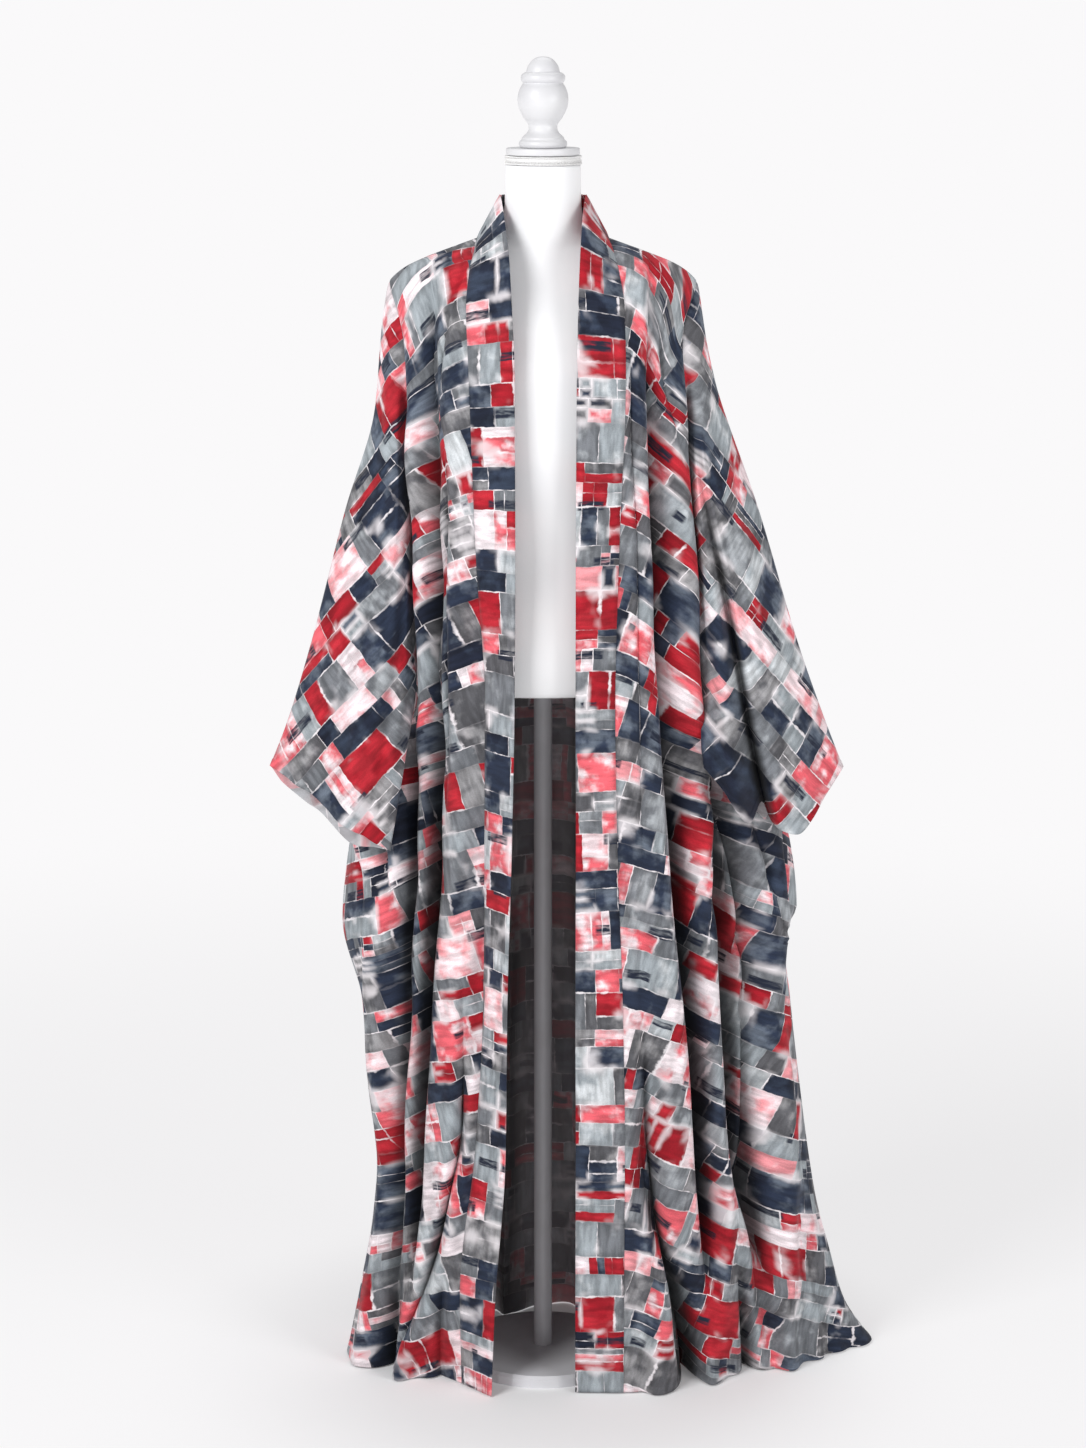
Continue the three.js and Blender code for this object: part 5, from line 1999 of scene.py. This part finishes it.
    def finial(self) -> bpy.types.Object:
        """The turned finial: a foot, a waist, a bulb, a ring and a dome."""
        low = self.neck_top + self.trim_height + self.plate_height + 3 * self.seam_gap
        places = np.array(FINIAL_PROFILE)
        index = np.arange(len(places))
        fine = np.linspace(0, len(places) - 1, 4 * len(places) - 3)
        radius = np.maximum(curve_at(index, places[:, 0], fine), 0.01)
        height = curve_at(index, places[:, 1], fine)
        profile = [(r * MM, (low + z) * MM) for r, z in zip(radius, height)]
        piece = self.turned("finial_lacquered", profile, 80)
        return self.dress(piece, self.wardrobe.lacquer, "finial")

    def dress(
        self, piece: bpy.types.Object, finish: bpy.types.Material, node: str
    ) -> bpy.types.Object:
        """Gives a piece its finish and its place in the part.

        Args:
            piece: The piece.
            finish: Its material.
            node: The CAD node that it stands for.

        Returns:
            The piece.
        """
        piece.data.materials.append(finish)
        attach(piece, ROOT)
        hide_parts(node)
        report(piece, f"stands for {node}")
        return piece

    def dress_stand(self) -> None:
        """Gives the pole and the base their powder coat."""
        for name in ("pole", "stand_base"):
            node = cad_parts[name]
            for slot in node.material_slots:
                slot.material = self.wardrobe.powder_coat
            log.info("%s: powder coated", name)


@dataclass
class Studio:
    """The pale floor, the soft lights and the camera."""

    eye: tuple[float, float, float] = (0.0, -4.468, 1.874)
    pitch: float = 12.2
    focal_pixels: float = 3400
    frame_pixels: float = 1448
    sensor: float = 36
    floor_size: float = 160
    backdrop: tuple = colour(250, 249, 250)
    ambient: float = 0.35
    lights: tuple = (
        ("key", (-2.6, -3.0, 3.2), (0, 0, 0.8), 1.7, 142),
        ("fill", (3.2, -3.0, 2.0), (0, 0, 0.8), 2.0, 74),
        ("top", (0.2, 1.4, 4.4), (0, 0, 1.1), 2.6, 42),
    )

    def build(self) -> None:
        """Sets the floor, the lights, the world and the camera."""
        self.floor()
        self.world()
        for light in self.lights:
            self.light(*light)
        self.camera()
        bpy.context.scene.view_settings.view_transform = "Standard"

    def floor(self) -> None:
        """A plain pale floor, lit by the lights near the form and bright by itself further out."""
        bm = bmesh.new()
        bmesh.ops.create_grid(bm, x_segments=2, y_segments=2, size=self.floor_size)
        floor = placed(bm, "studio_floor")
        graph = Graph("studio_floor")
        place = graph.add("TexCoord").outputs["Object"]
        away = graph.add("VectorMath", {"operation": "LENGTH"})
        graph.feed(away.inputs[0], place)
        near = graph.rise(away.outputs["Value"], 0.25, 0.6, 0.08, 0.66)
        lit = graph.rise(away.outputs["Value"], 0.9, 3.2, near, 1)
        matt = graph.add("BsdfPrincipled", Base_Color=colour(244, 244, 245), Roughness=0.95)
        matt.inputs["Specular IOR Level"].default_value = 0.05
        glow = graph.add("Emission", Color=self.backdrop, Strength=1.0)
        both = graph.add("MixShader", Fac=lit)
        graph.feed(both.inputs[1], matt.outputs[0])
        graph.feed(both.inputs[2], glow.outputs[0])
        floor.data.materials.append(graph.finish(both))

    def world(self) -> None:
        """A bright backdrop, and softer even light from all round."""
        world = bpy.data.worlds.new("studio")
        world.use_nodes = True
        nodes, links = world.node_tree.nodes, world.node_tree.links
        background = nodes["Background"]
        background.inputs["Color"].default_value = self.backdrop
        ray = nodes.new("ShaderNodeLightPath")
        strength = nodes.new("ShaderNodeMapRange")
        strength.inputs["To Min"].default_value = self.ambient
        links.new(ray.outputs["Is Camera Ray"], strength.inputs["Value"])
        links.new(strength.outputs[0], background.inputs["Strength"])
        bpy.context.scene.world = world

    def light(self, name: str, place: tuple, target: tuple, size: float, power: float) -> None:
        """A square soft light.

        Args:
            name: The light's name.
            place: Where it stands.
            target: What it faces.
            size: Its side in metres.
            power: Its power in watts.
        """
        data = bpy.data.lights.new(name, "AREA")
        data.energy, data.size = power, size
        light = bpy.data.objects.new(name, data)
        away = np.array(place) - np.array(target)
        light.location = place
        light.rotation_euler = (
            math.atan2(math.hypot(away[0], away[1]), away[2]), 0, math.atan2(away[0], -away[1])
        )
        bpy.context.scene.collection.objects.link(light)

    def camera(self) -> None:
        """The camera at the photograph's angle."""
        data = bpy.data.cameras.new("camera")
        data.sensor_width = self.sensor
        data.lens = self.focal_pixels / self.frame_pixels * self.sensor
        camera = bpy.data.objects.new("camera", data)
        camera.location = self.eye
        camera.rotation_euler = (math.radians(90 - self.pitch), 0, 0)
        bpy.context.scene.collection.objects.link(camera)
        bpy.context.scene.camera = camera


def main() -> None:
    logging.basicConfig(level=logging.INFO, format="%(name)s %(message)s")
    wardrobe = Wardrobe()
    pieces = Robe(wardrobe).build() + DressForm(wardrobe).build()
    Studio().build()
    log.info("%d pieces built", len(pieces))


if __name__ == "__main__":
    main()
